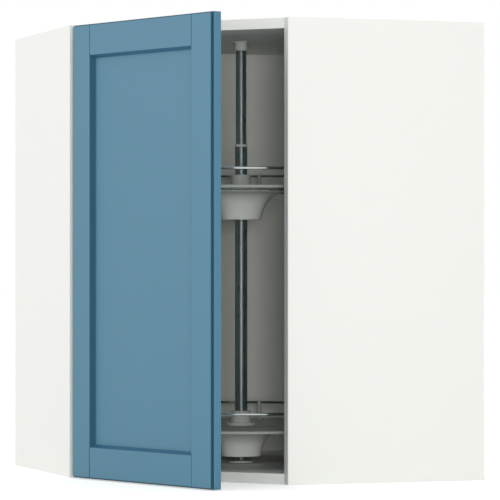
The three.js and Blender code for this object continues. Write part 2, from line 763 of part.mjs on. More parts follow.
function hingeCup(level) {
  const z = HINGE_LEVELS[level];
  const across = (solid) => move(turnX(solid, -90), CUP_X, 0, z);
  const flangeTop = CUP_MOUTH + CUP_FLANGE;
  const shell = across(rod(CUP_RADIUS, CUP_BASE, flangeTop));
  const hollow = across(rod(CUP_RADIUS - CUP_WALL, CUP_BASE + CUP_FLOOR, flangeTop + PAST));
  const earHalf = CUP_SCREW_SPACING / 2 + CUP_EAR_WIDTH / 2;
  const ear = block(
    [CUP_X - CUP_EAR_WIDTH / 2, CUP_X + CUP_EAR_WIDTH / 2],
    [CUP_MOUTH, flangeTop],
    [z - earHalf, z + earHalf],
  );
  const pegs = cupScrewPlaces(z).map((place) => (
    place(move(screw(SMALL_SCREW), 0, 0, SEAT_GAP + CUP_FLANGE))
  ));
  const lugs = [-1, 1].map((side) => {
    const inner = ARM_WIDTH / 2 + SEAT_GAP;
    const zs = [z + side * inner, z + side * (inner + LUG_THICKNESS)].sort((a, b) => a - b);
    const eye = move(rod(LUG_RADIUS, zs[0], zs[1], PIN_FACETS), 0, 0, 0);
    const web = block([-LUG_RADIUS, LUG_RADIUS], [CUP_BASE + CUP_FLOOR / 2, 0], zs);
    return eye.add(web);
  });
  const pinHole = rod(HINGE_PIN_RADIUS + SEAT_GAP, z - PLATE_HEIGHT, z + PLATE_HEIGHT, PIN_FACETS);
  const inside = across(rod(CUP_RADIUS - CUP_WALL / 2, CUP_BASE + CUP_FLOOR / 2, flangeTop));
  const held = join(lugs).subtract(pinHole).intersect(inside);
  return join([shell.add(ear).subtract(hollow), held, ...pegs]);
}

function hingePin(level) {
  const z = HINGE_LEVELS[level];
  const half = ARM_WIDTH / 2 + SEAT_GAP + LUG_THICKNESS;
  return rod(HINGE_PIN_RADIUS, z - half, z + half, PIN_FACETS);
}

// ---------------------------------------------------------------- pole

const POLE_BASE = BOARD + SEAT_GAP + FOOT_THICKNESS + SEAT_GAP;
const CROWN_TOP = CEILING - SEAT_GAP;
const CROWN_BASE = CROWN_TOP - CROWN_HEIGHT;

const tube = (radius, wall, z0, z1) => rod(radius, z0, z1).subtract(
  rod(radius - wall, z0 - PAST, z1 + PAST),
);

// The screw through the middle of the foot, its head inside the foot's hollow.
const footScrewPlace = (solid) => move(solid, 0, 0, BOARD + 2 * SEAT_GAP + FOOT_THICKNESS);

function poleFoot() {
  const base = BOARD + SEAT_GAP;
  const top = base + FOOT_THICKNESS;
  const flange = rod(FOOT_RADIUS, base, top, HUB_FACETS);
  const spigotRadius = LOWER_TUBE_RADIUS - LOWER_TUBE_WALL - SEAT_GAP;
  const spigot = rod(spigotRadius, base, top + FOOT_SPIGOT);
  const hollow = rod(FOOT_HOLLOW_RADIUS, top, top + FOOT_SPIGOT + PAST, PIN_FACETS);
  return cut(flange.add(spigot), [hollow, footScrewPlace(screwHole(WOOD_SCREW))]);
}

// The fitting below the top board, with a stub that stands in the board.
function poleCrown() {
  const sleeve = rod(CROWN_RADIUS, CROWN_BASE, CROWN_TOP);
  const flange = rod(CROWN_FLANGE_RADIUS, CROWN_TOP - CROWN_FLANGE, CROWN_TOP, HUB_FACETS);
  const spigotRadius = UPPER_TUBE_RADIUS - UPPER_TUBE_WALL - SEAT_GAP;
  const spigot = rod(spigotRadius, CROWN_BASE - FOOT_SPIGOT, CROWN_TOP);
  const stub = rod(CROWN_STUB_RADIUS, CROWN_TOP - CROWN_FLANGE, CROWN_TOP + CROWN_STUB, PIN_FACETS);
  return join([sleeve, flange, spigot, stub]);
}

const crownStubHole = () => rod(
  CROWN_STUB_RADIUS + SEAT_GAP,
  CEILING - PAST,
  CROWN_TOP + CROWN_STUB + SEAT_GAP,
  PIN_FACETS,
);

// The bush that closes the lower tube's end round the upper one.
function poleCollar() {
  const base = LOWER_TUBE_TOP + SEAT_GAP;
  const body = rod(LOWER_TUBE_RADIUS, base, base + COLLAR_HEIGHT, POLE_FACETS, UPPER_TUBE_RADIUS + EDGE);
  return body.subtract(rod(UPPER_TUBE_RADIUS + SEAT_GAP, base - PAST, base + COLLAR_HEIGHT + PAST));
}

// The set screw that locks the upper tube, on the side towards the room's corner.
const LOCK_SCREW_LEVEL = LOWER_TUBE_TOP - LOCK_SCREW_BELOW_TOP;
const lockHole = () => rod(LOCK_SCREW.shank + SEAT_GAP, -2 * LOWER_TUBE_WALL, PAST, SCREW_FACETS);
const lockPlace = (solid) => move(
  turnZ(move(turnY(solid, 90), LOWER_TUBE_RADIUS + SEAT_GAP, 0, 0), LOCK_DIRECTION_DEG),
  0,
  0,
  LOCK_SCREW_LEVEL,
);

// ---------------------------------------------------------------- trays

// A tray's frame has z = 0 at the top of its floor.
const HUB_BORE_TOP = HUB_FLANGE + HUB_RISE;
const DISC_UNDERSIDE = -TRAY_SKIN;
const RIM_TOP = DISC_UNDERSIDE + TRAY_RIM_HEIGHT;
const RIM_INNER = TRAY_RADIUS - TRAY_RIM_WIDTH;

function trayDisc() {
  const hole = HUB_NECK_RADIUS + SEAT_GAP;
  const beadIn = TRAY_BEAD_RADIUS - TRAY_BEAD_WIDTH / 2;
  const beadOut = TRAY_BEAD_RADIUS + TRAY_BEAD_WIDTH / 2;
  return turned([
    [hole, DISC_UNDERSIDE],
    [hole, 0],
    [beadIn, 0],
    [beadIn + EDGE, TRAY_BEAD_HEIGHT],
    [beadOut - EDGE, TRAY_BEAD_HEIGHT],
    [beadOut, 0],
    [RIM_INNER, 0],
    [RIM_INNER, RIM_TOP],
    [TRAY_RADIUS - EDGE, RIM_TOP],
    [TRAY_RADIUS, RIM_TOP - EDGE],
    [TRAY_RADIUS, DISC_UNDERSIDE],
  ], TRAY_FACETS);
}

function trayHub() {
  const flangeFoot = SEAT_GAP;
  const flangeTop = flangeFoot + HUB_FLANGE;
  return turned([
    [POLE_BORE, -HUB_NECK_DEPTH],
    [POLE_BORE, HUB_BORE_TOP],
    [HUB_TOP_RADIUS - EDGE, HUB_BORE_TOP],
    [HUB_TOP_RADIUS, HUB_BORE_TOP - EDGE],
    [HUB_RADIUS, flangeTop],
    [HUB_FLANGE_RADIUS - EDGE, flangeTop],
    [HUB_FLANGE_RADIUS, flangeTop - EDGE],
    [HUB_FLANGE_RADIUS, flangeFoot],
    [HUB_NECK_RADIUS, flangeFoot],
    [HUB_NECK_RADIUS, -HUB_NECK_DEPTH],
  ], HUB_FACETS);
}

// The flare from the tray's underside to the cone's mouth, as [radius, height] points.
function conePoints(shift) {
  const curve = new THREE.QuadraticBezierCurve(
    new THREE.Vector2(CONE_MOUTH_RADIUS - shift, -CONE_DEPTH),
    new THREE.Vector2(CONE_WAIST_RADIUS - shift, DISC_UNDERSIDE - CONE_WALL - SEAT_GAP + shift),
    new THREE.Vector2(CONE_TOP_RADIUS, DISC_UNDERSIDE - CONE_WALL - SEAT_GAP + shift),
  );
  return curve.getPoints(CONE_STEPS).map((point) => [point.x, point.y]);
}

function trayCone() {
  const outside = conePoints(0);
  const inside = conePoints(CONE_WALL).reverse();
  const top = DISC_UNDERSIDE - SEAT_GAP;
  const shell = turned([...outside, ...inside], HUB_FACETS);
  const webInner = HUB_NECK_RADIUS + SEAT_GAP;
  const web = turned([
    [webInner, top - CONE_WALL],
    [webInner, top],
    [CONE_TOP_RADIUS - CONE_WALL, top],
    [CONE_TOP_RADIUS - CONE_WALL, top - CONE_WALL],
  ], HUB_FACETS);
  return shell.add(web);
}

// The nut on the hub's neck that clamps cone and disc to the hub's flange.
function trayNut() {
  const top = DISC_UNDERSIDE - CONE_WALL - 2 * SEAT_GAP;
  const nut = rod(NUT_RADIUS, top - NUT_HEIGHT, top, NUT_FLATS);
  return nut.subtract(rod(HUB_NECK_RADIUS + SEAT_GAP, top - NUT_HEIGHT - PAST, top + PAST, HUB_FACETS));
}

function trayRail() {
  const geometry = new THREE.TorusGeometry(RAIL_RADIUS, RAIL_WIRE_RADIUS, WIRE_FACETS, TRAY_FACETS);
  geometry.translate(0, 0, RAIL_ABOVE_FLOOR);
  return solidOf(geometry);
}

// Posts that clip round the rail, stand on the tray's floor and lap over its rim.
function trayPosts() {
  const reach = RAIL_WIRE_RADIUS + SEAT_GAP;
  const post = move(
    rod(POST_RADIUS, SEAT_GAP, RAIL_ABOVE_FLOOR + reach + POST_CROWN, PIN_FACETS, POST_TOP_RADIUS),
    RAIL_RADIUS,
    0,
    0,
  );
  const railSpace = new THREE.TorusGeometry(RAIL_RADIUS, reach, WIRE_FACETS, TRAY_FACETS);
  railSpace.translate(0, 0, RAIL_ABOVE_FLOOR);
  const rimSpace = turned([
    [RIM_INNER - SEAT_GAP, -PAST],
    [RIM_INNER - SEAT_GAP, RIM_TOP + SEAT_GAP],
    [TRAY_RADIUS + PAST, RIM_TOP + SEAT_GAP],
    [TRAY_RADIUS + PAST, -PAST],
  ], TRAY_FACETS);
  const space = solidOf(railSpace).add(rimSpace);
  return around(post, POST_COUNT, POST_PHASE_DEG).map((each) => each.subtract(space));
}

// ---------------------------------------------------------------- what carries a tray

const washerTop = -HUB_NECK_DEPTH - SEAT_GAP;
const ringTop = washerTop - WASHER_THICKNESS - SEAT_GAP;

const thrustWasher = () => tube(
  WASHER_RADIUS,
  WASHER_RADIUS - LOWER_TUBE_RADIUS - SEAT_GAP,
  washerTop - WASHER_THICKNESS,
  washerTop,
);

const ringScrewSpec = {
  ...SMALL_SCREW,
  length: HEIGHT_RING_RADIUS - LOWER_TUBE_RADIUS,
};
const ringScrewPlace = (solid) => move(
  turnZ(move(turnY(solid, 90), HEIGHT_RING_RADIUS + SEAT_GAP, 0, 0), LOCK_DIRECTION_DEG),
  0,
  0,
  ringTop - HEIGHT_RING_HEIGHT / 2,
);

function heightRing() {
  const wall = HEIGHT_RING_RADIUS - LOWER_TUBE_RADIUS - SEAT_GAP;
  const ring = tube(HEIGHT_RING_RADIUS, wall, ringTop - HEIGHT_RING_HEIGHT, ringTop);
  return ring.subtract(ringScrewPlace(screwHole(ringScrewSpec)));
}

// ---------------------------------------------------------------- assembly

function carcass() {
  const group = new THREE.Group();
  group.add(
    mesh('side_panel_left', sidePanel('left'), WHITE_FOIL),
    mesh('side_panel_right', sidePanel('right'), WHITE_FOIL),
    mesh('bottom_panel', fiveSidedBoard('bottom'), WHITE_FOIL),
    mesh('top_panel', fiveSidedBoard('top'), WHITE_FOIL),
    mesh('back_panel_left', backPanel('left'), BACK_FOIL),
    mesh('back_panel_right', backPanel('right'), BACK_FOIL),
    mesh('back_corner_batten', cornerBatten(), WHITE_FOIL),
    mesh('hanging_bracket_left', hangingBracket('left'), ZINC),
    mesh('hanging_bracket_right', hangingBracket('right'), ZINC),
  );
  return group;
}

function hingesOnSide() {
  const group = new THREE.Group();
  for (const level of Object.keys(HINGE_LEVELS)) {
    group.add(
      mesh(`hinge_plate_${level}`, hingePlate(level), STEEL),
      mesh(`hinge_arm_${level}`, hingeArm(level), STEEL),
      mesh(`hinge_arm_screw_${level}`, armScrewPlace(level)(screw(SMALL_SCREW)), STEEL),
      mesh(`hinge_cap_${level}`, hingeCap(level), GREY_PLASTIC),
    );
  }
  return group;
}

function door() {
  const group = new THREE.Group();
  group.position.set(PIN_PLACE.x, PIN_PLACE.y, 0);
  group.rotation.z = THREE.MathUtils.degToRad(45 - DOOR_OPEN_DEG);
  group.add(
    mesh('door_stile_hinge', stile(DOOR_X[0]), BLUE_PAINT),
    mesh('door_stile_free', stile(DOOR_X[1] - STILE_WIDTH), BLUE_PAINT),
    mesh('door_rail_bottom', doorRail('bottom'), BLUE_PAINT),
    mesh('door_rail_top', doorRail('top'), BLUE_PAINT),
    mesh('door_panel', doorPanel(), BLUE_PAINT),
    mesh('door_bumper_bottom', doorBumper('bottom'), CLEAR_BUMPER),
    mesh('door_bumper_top', doorBumper('top'), CLEAR_BUMPER),
  );
  for (const level of Object.keys(HINGE_LEVELS)) {
    group.add(
      mesh(`hinge_cup_${level}`, hingeCup(level), STEEL),
      mesh(`hinge_pin_${level}`, hingePin(level), STEEL),
    );
  }
  return group;
}

function pole() {
  const group = new THREE.Group();
  const lowerTube = tube(LOWER_TUBE_RADIUS, LOWER_TUBE_WALL, POLE_BASE, LOWER_TUBE_TOP);
  group.add(
    mesh('pole_lower_tube', lowerTube.subtract(lockPlace(lockHole())), CHROME),
    mesh('pole_upper_tube', tube(
      UPPER_TUBE_RADIUS,
      UPPER_TUBE_WALL,
      LOWER_TUBE_TOP - TUBE_OVERLAP,
      CROWN_BASE - SEAT_GAP,
    ), CHROME),
    mesh('pole_collar', poleCollar(), GREY_PLASTIC),
    mesh('pole_lock_screw', lockPlace(screw(LOCK_SCREW)), STEEL),
    mesh('pole_foot', poleFoot(), GREY_PLASTIC),
    mesh('pole_foot_screw', footScrewPlace(screw(WOOD_SCREW)), STEEL),
    mesh('pole_top_fitting', poleCrown(), GREY_PLASTIC),
  );
  return group;
}

function tray(level) {
  const group = new THREE.Group();
  group.position.z = TRAY_FLOORS[level];
  group.add(
    mesh(`${level}_tray_disc`, trayDisc(), DARK_TRAY),
    mesh(`${level}_tray_hub`, trayHub(), GREY_PLASTIC),
    mesh(`${level}_tray_cone`, trayCone(), GREY_PLASTIC),
    mesh(`${level}_tray_rail`, trayRail(), CHROME),
    mesh(`${level}_tray_nut`, trayNut(), GREY_PLASTIC),
    ...trayPosts().map((post, i) => mesh(`${level}_tray_post_${i + 1}`, post, GREY_PLASTIC)),
    mesh(`thrust_washer_${level}`, thrustWasher(), GREY_PLASTIC),
    mesh(`height_ring_${level}`, heightRing(), GREY_PLASTIC),
    mesh(`height_ring_screw_${level}`, ringScrewPlace(screw(ringScrewSpec)), STEEL),
  );
  return group;
}

const cabinet = new THREE.Group();
cabinet.add(carcass(), hingesOnSide(), door(), pole(), tray('lower'), tray('upper'));

export default cabinet;
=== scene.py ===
import json
import logging
import math
from dataclasses import dataclass, replace
from enum import Enum
from typing import Callable, Iterable, Sequence

import bmesh
import bpy
from mathutils import Matrix, Vector


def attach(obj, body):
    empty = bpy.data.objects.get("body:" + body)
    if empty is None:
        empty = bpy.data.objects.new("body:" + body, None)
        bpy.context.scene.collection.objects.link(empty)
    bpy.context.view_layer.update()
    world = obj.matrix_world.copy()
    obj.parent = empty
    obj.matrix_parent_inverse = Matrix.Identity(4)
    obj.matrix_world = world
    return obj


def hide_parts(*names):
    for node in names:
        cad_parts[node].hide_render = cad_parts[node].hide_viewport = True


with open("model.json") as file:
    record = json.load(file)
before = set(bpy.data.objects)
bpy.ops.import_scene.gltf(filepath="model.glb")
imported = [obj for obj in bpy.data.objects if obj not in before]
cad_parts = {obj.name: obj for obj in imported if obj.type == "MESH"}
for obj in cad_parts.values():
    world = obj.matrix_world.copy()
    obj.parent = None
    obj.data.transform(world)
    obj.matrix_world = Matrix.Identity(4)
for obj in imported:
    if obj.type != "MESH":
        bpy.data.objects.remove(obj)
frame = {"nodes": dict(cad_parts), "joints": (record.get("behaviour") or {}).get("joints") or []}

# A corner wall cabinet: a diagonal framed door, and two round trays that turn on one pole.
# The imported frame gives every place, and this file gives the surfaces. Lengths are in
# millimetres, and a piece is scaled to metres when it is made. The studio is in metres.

Point = tuple[float, float]
Triple = tuple[float, float, float]
Colour = tuple[int, int, int]
Socket = bpy.types.NodeSocket
Value = float | tuple[float, ...] | Socket

MM = 0.001  # a millimetre in metres
SEAT = 0.3  # the gap where one piece stands in another
OVERCUT = 1.0  # how far a cutting tool reaches past what it cuts
NEAR = 0.1  # how near a face's middle or normal counts as the same
FACING = 0.9  # from where a normal's part along an axis counts as facing it
ROUND = 96  # the steps round a turned piece
PAIR = ((1, -1), (2, 1))  # two like pieces: each one's number, and its side of their middle

log = logging.getLogger("corner_cabinet")


# ---------------------------------------------------------------- named options


class Body(Enum):
    """The bodies of the frame that pieces ride on."""

    CABINET = "cabinet"
    DOOR = "door"
    LOWER_TRAY = "lower_tray"
    UPPER_TRAY = "upper_tray"


class Slot(Enum):
    """The record's material slots."""

    WHITE_FOIL = "white_foil"
    BACK_FOIL = "back_foil"
    BLUE_PAINT = "blue_paint"
    CHROME = "chrome"
    STEEL = "steel"
    ZINC = "zinc"
    GREY_PLASTIC = "grey_plastic"
    TRAY_DARK = "tray_dark"
    BUMPER = "bumper"


class Side(Enum):
    """The two sides of the cabinet, as seen from its front."""

    LEFT = "left"
    RIGHT = "right"


class Level(Enum):
    """The lower or the upper one of two like pieces."""

    LOWER = "lower"
    UPPER = "upper"


class End(Enum):
    """The bottom or the top of the carcass and its door."""

    BOTTOM = "bottom"
    TOP = "top"


class Axis(Enum):
    """Where the top of a form made up Z points, as a turn in degrees about an axis."""

    UP = (0, "Z")
    ALONG_X = (90, "Y")
    ALONG_Y = (-90, "X")
    AGAINST_Y = (90, "X")


class Cut(Enum):
    """What a cutting tool takes away: the space that it fills, or all the rest."""

    AWAY = "DIFFERENCE"
    INSIDE = "INTERSECT"


# ---------------------------------------------------------------- forms in mesh code


@dataclass
class Form:
    """A closed surface under construction, in millimetres.

    Args:
        points: The corners.
        faces: Each face's corners, as places in points.
    """

    points: list[Vector]
    faces: list[tuple[int, ...]]

    def __add__(self, other: "Form") -> "Form":
        """Both forms as one, with their surfaces left as they are."""
        moved = [tuple(i + len(self.points) for i in face) for face in other.faces]
        return Form(self.points + other.points, self.faces + moved)

    def placed(self, place: Matrix) -> "Form":
        """The form moved to a place."""
        return Form([place @ p for p in self.points], self.faces)

    def spun(self, degrees: float) -> "Form":
        """The form turned about Z."""
        return self.placed(Matrix.Rotation(math.radians(degrees), 4, "Z"))

    def mesh(self, name: str, scale: float = 1.0) -> bpy.types.Mesh:
        """Makes the mesh, with its faces pointing out.

        Args:
            name: The mesh's name.
            scale: What a millimetre becomes.

        Returns:
            The new mesh.
        """
        data = bpy.data.meshes.new(name)
        data.from_pydata([p * scale for p in self.points], [], self.faces)
        data.validate()
        work = bmesh.new()
        work.from_mesh(data)
        bmesh.ops.recalc_face_normals(work, faces=work.faces)
        work.to_mesh(data)
        work.free()
        return data


def at(x: float, y: float, z: float, axis: Axis = Axis.UP) -> Matrix:
    """A place for a form made up Z, which is laid along an axis there."""
    degrees, about = axis.value
    return Matrix.Translation((x, y, z)) @ Matrix.Rotation(math.radians(degrees), 4, about)


def around(bearing: float, out: float, height: float) -> Matrix:
    """A place on a circle about the pole, for a form that faces out."""
    turn = Matrix.Rotation(math.radians(bearing), 4, "Z")
    return turn @ at(out, 0, height, Axis.ALONG_X)


def corners(x: Point, y: Point) -> list[Point]:
    """The corners of a rectangle, in order."""
    return [(x[0], y[0]), (x[1], y[0]), (x[1], y[1]), (x[0], y[1])]


def arc(middle: Point, radii: Point, degrees: Iterable[float]) -> list[Point]:
    """Points round an ellipse, one at each bearing."""
    angles = [math.radians(step) for step in degrees]
    return [(middle[0] + radii[0] * math.cos(a), middle[1] + radii[1] * math.sin(a)) for a in angles]


def bend(start: Vector, towards: Vector, end: Vector, steps: int) -> list[Point]:
    """Points on a curve between two points that leans towards a third.

    Args:
        start: The curve's first point.
        towards: Where it leans.
        end: Its last point.
        steps: The steps along it.

    Returns:
        The points from start to end.
    """
    points = []
    for k in range(steps + 1):
        u = k / steps
        point = start * (1 - u) ** 2 + towards * 2 * u * (1 - u) + end * u * u
        points.append((point.x, point.y))
    return points


def softened(profile: Sequence[Point], radius: float, steps: int = 3) -> list[Point]:
    """Rounds the corners of a closed outline, except those on the axis.

    Args:
        profile: The outline's corners.
        radius: The largest radius; short sides take a smaller one.
        steps: The steps round each corner.

    Returns:
        The outline with an arc of points at each corner.
    """
    shortest, share, straight = 1e-6, 0.45, math.radians(85)
    places = [Vector(p) for p in profile]
    result: list[Point] = []
    for i, place in enumerate(places):
        before, after = places[i - 1] - place, places[(i + 1) % len(places)] - place
        is_corner = place.x != 0 and min(before.length, after.length) >= shortest
        half = before.angle(after, math.pi) / 2 if is_corner else math.pi
        if half > straight:
            result.append((place.x, place.y))
            continue
        reach = min(radius / math.tan(half), before.length * share, after.length * share)
        start, end = place + before.normalized() * reach, place + after.normalized() * reach
        result += bend(start, place, end, steps)
    return result


def prism(outline: Sequence[Point], low: float, high: float) -> Form:
    """A plate whose outline lies in the XY plane.

    Args:
        outline: The corners, in order.
        low: The height of the underside.
        high: The height of the top.

    Returns:
        The closed plate.
    """
    count = len(outline)
    points = [Vector((x, y, z)) for z in (low, high) for x, y in outline]
    walls = [(i, (i + 1) % count, (i + 1) % count + count, i + count) for i in range(count)]
    caps = [tuple(reversed(range(count))), tuple(range(count, 2 * count))]
    return Form(points, walls + caps)


def block(x: Point, y: Point, z: Point) -> Form:
    """A board or bar given by its limits along each axis."""
    return prism(corners(x, y), *z)


def rounded_plate(x: Point, y: Point, z: Point, radius: float) -> Form:
    """A plate with rounded corners, given by its limits along each axis."""
    return prism(softened(corners(x, y), radius, 5), *z)


def turned(profile: Sequence[Point], segments: int = ROUND) -> Form:
    """A body turned about Z from an outline of (radius, height) points.

    Args:
        profile: A closed outline, or one that starts and ends on the axis.
        segments: The steps round a full turn.

    Returns:
        The closed body of revolution.
    """
    rings: list[list[int]] = []
    points: list[Vector] = []
    for radius, height in profile:
        count = 1 if radius == 0 else segments
        rings.append([len(points) + i for i in range(count)])
        for i in range(count):
            angle = 2 * math.pi * i / segments
            points.append(Vector((radius * math.cos(angle), radius * math.sin(angle), height)))
    on_axis = profile[0][0] == 0 and profile[-1][0] == 0
    pairs = list(zip(rings, rings[1:])) + ([] if on_axis else [(rings[-1], rings[0])])
    faces: list[tuple[int, ...]] = []
    for lower, upper in pairs:
        for i in range(segments):
            k = (i + 1) % segments
            face = [lower[i % len(lower)], lower[k % len(lower)]]
            face += [upper[k % len(upper)], upper[i % len(upper)]]
            unique = tuple(dict.fromkeys(face))
            if len(unique) > 2:
                faces.append(unique)
    return Form(points, faces)


def rod(radius: float, z: Point, segments: int = 24) -> Form:
    """A plain round bar up Z, as bores are cut with."""
    return turned(corners((0.0, radius), z), segments)


def sleeve(radii: Point, z: Point, arris: float, segments: int = ROUND, steps: int = 3) -> Form:
    """A tube or ring up Z, given by its inner and outer radius, with softened rims."""
    return turned(softened(corners(radii, z), arris, steps), segments)


def wire_ring(radius: float, wire: float, height: float) -> Form:
    """A round wire bent into a ring about Z at a height."""
    sides, segments = 16, 240
    return turned(arc((radius, height), (wire, wire), [360 * i / sides for i in range(sides)]), segments)


def upright_frame(x: Point, z: Point, section: Iterable[Point]) -> Form:
    """A closed frame of four mitred bars round an upright rectangle.

    Args:
        x: The rectangle's left and right side.
        z: Its bottom and top.
        section: The bars' section, as (Y, distance in from the rectangle) points.

    Returns:
        The closed frame.
    """
    points = []
    for y, inset in section:
        ring = corners((x[0] + inset, x[1] - inset), (z[0] + inset, z[1] - inset))
        points += [Vector((a, y, b)) for a, b in ring]
    faces = []
    for start in range(0, len(points), 4):
        end = (start + 4) % len(points)
        faces += [(start + i, start + (i + 1) % 4, end + (i + 1) % 4, end + i) for i in range(4)]
    return Form(points, faces)


def on_side(form: Form, side: Side) -> Form:
    """A form made for the left side, or its mirror image in the plan's diagonal."""
    mirrored = [Vector((-p.y, -p.x, p.z)) for p in form.points]
    return form if side is Side.LEFT else Form(mirrored, form.faces)


def carved(body: Form, *tools: Form, cut: Cut = Cut.AWAY) -> Form:
    """Cuts a body with tools.

    Args:
        body: What is cut.
        tools: What it is cut with, one after another.
        cut: What each tool takes away.

    Returns:
        What is left of the body.
    """
    made = [bpy.data.objects.new("carving", form.mesh("carving")) for form in (body, *tools)]
    for item in made:
        bpy.context.scene.collection.objects.link(item)
    for tool in made[1:]:
        step = made[0].modifiers.new("cut", "BOOLEAN")
        step.operation = cut.value
        step.solver = "EXACT"
        step.object = tool
    bpy.context.view_layer.update()
    view = bpy.context.evaluated_depsgraph_get()
    data = bpy.data.meshes.new_from_object(made[0].evaluated_get(view))
    rest = Form([v.co.copy() for v in data.vertices], [tuple(f.vertices) for f in data.polygons])
    for mesh in (data, *[item.data for item in made]):
        bpy.data.meshes.remove(mesh)
    return rest


# ---------------------------------------------------------------- places in the frame


@dataclass(frozen=True)
class Limits:
    """The lowest and highest corner of a node, in millimetres."""

    low: Vector
    high: Vector

    @classmethod
    def of(cls, node: str, seen_from: Matrix | None = None) -> "Limits":
        """The limits of a node.

        Args:
            node: The node's name.
            seen_from: The place of the frame that they are measured in, if not the row's.

        Returns:
            The node's limits.
        """
        inverse = seen_from.inverted() if seen_from else Matrix.Identity(4)
        points = [inverse @ (v.co / MM) for v in frame["nodes"][node].data.vertices]
        low = Vector([min(p[i] for p in points) for i in range(3)])
        high = Vector([max(p[i] for p in points) for i in range(3)])
        return cls(low, high)

    @property
    def middle(self) -> Vector:
        """The middle of the node."""
        return (self.low + self.high) / 2

    def filled(self, gap: float = 0.0) -> Form:
        """The block that fills the limits, grown by a gap on every side."""
        return block(*[(self.low[i] - gap, self.high[i] + gap) for i in range(3)])


@dataclass(frozen=True)
class Plan:
    """The carcass's plan: a square whose front corner is cut off by the door.

    Args:
        half: Half of the square's side.
        front: How far the left side panel reaches along X.
        board: The boards' thickness.
        height: The carcass's height.
    """

    half: float
    front: float
    board: float
    height: float

    @classmethod
    def from_frame(cls) -> "Plan":
        """Reads the plan from the left side panel."""
        side = Limits.of("side_panel_left")
        return cls(-side.low.x, side.high.x, side.high.y - side.low.y, side.high.z)

    @property
    def inner(self) -> float:
        """How far the side panels' inner faces are from the pole."""
        return self.half - self.board


def door_place() -> Matrix:
    """Where the door's own frame stands: on the hinge pin, +X to the free edge, +Y inwards.

    Returns:
        The place of the door's frame in the row's.
    """
    joint = next(j for j in frame["joints"] if j["name"] == "door_hinge")
    x, y, _ = (value / MM for value in joint["pos_m"])
    closed_yaw = 45.0
    yaw = math.radians(closed_yaw + joint["range_deg"][0])
    return Matrix.Translation((x, y, 0)) @ Matrix.Rotation(yaw, 4, "Z")


# ---------------------------------------------------------------- node graphs


class Graph:
    """Adds and joins the nodes of one material, world or effect."""

    def __init__(self, tree: bpy.types.NodeTree) -> None:
        """Starts on a node tree, which is emptied first."""
        self.tree = tree
        tree.nodes.clear()

    def feed(self, node: bpy.types.Node, inputs: dict[str | int, Value]) -> None:
        """Sets a node's inputs, or links those that are given as sockets.

        Args:
            node: The node.
            inputs: Values or sockets, by the name or place of the input.
        """
        for key, value in inputs.items():
            if isinstance(value, Socket):
                self.tree.links.new(value, node.inputs[key])
            else:
                node.inputs[key].default_value = value

    def add(
        self, kind: str, inputs: dict[str | int, Value] | None = None, **settings: object
    ) -> bpy.types.Node:
        """Adds a node.

        Args:
            kind: The node's type, without the leading ShaderNode.
            inputs: Values, or sockets to be linked, by the name or place of the input.
            settings: The node's own properties.

        Returns:
            The new node.
        """
        node = self.tree.nodes.new("ShaderNode" + kind)
        for key, value in settings.items():
            setattr(node, key, value)
        self.feed(node, inputs or {})
        return node

    def math(self, operation: str, first: Value, second: Value) -> Socket:
        """The result of a sum, product or other operation on two values."""
        return self.add("Math", {0: first, 1: second}, operation=operation).outputs[0]

    def times(self, first: Value, second: Value) -> Socket:
        """The product of two values."""
        return self.math("MULTIPLY", first, second)

    def swing(self, value: Value, amount: Value) -> Socket:
        """How far a value from 0 to 1 is from its middle, times an amount."""
        return self.times(self.math("SUBTRACT", value, 0.5), amount)

    def vector(self, operation: str, first: Value, second: Value) -> bpy.types.Node:
        """The node of an operation on two vectors."""
        return self.add("VectorMath", {0: first, 1: second}, operation=operation)

    def ramp(self, value: Value, start: Point, end: Point = (0.0, 1.0)) -> Socket:
        """Maps a value from one range to another, and keeps it there."""
        limits = dict(zip(("From Min", "From Max", "To Min", "To Max"), (*start, *end)))
        return self.add("MapRange", {"Value": value, **limits}, clamp=True).outputs["Result"]

    def blend(self, mask: Value, under: Value, over: Value) -> Socket:
        """Lays one colour over another where a mask says so."""
        return self.add("Mix", {0: mask, 6: under, 7: over}, data_type="RGBA").outputs[2]

    def noise(self, where: Value, scale: Value, detail: float) -> Socket:
        """Smooth noise from 0 to 1."""
        return self.add("TexNoise", {"Vector": where, "Scale": scale, "Detail": detail}).outputs["Fac"]

    def patches(self, where: Value) -> tuple[Socket, Socket]:
        """Cells of one tone each: their tones, and how far each point is from its cell's middle."""
        cells = self.add("TexVoronoi", {"Vector": where, "Scale": 1.0}).outputs
        return self.add("SeparateColor", {0: cells["Color"]}).outputs[0], cells["Distance"]

    def object_place(self) -> Socket:
        """The place on the piece, in metres, which moves with it."""
        return self.add("TexCoord").outputs["Object"]

    def normal(self) -> Socket:
        """The surface's normal."""
        return self.add("NewGeometry").outputs["Normal"]


Given = dict[str, Socket]
ORIGIN = (0.0, 0.0, 0.0)


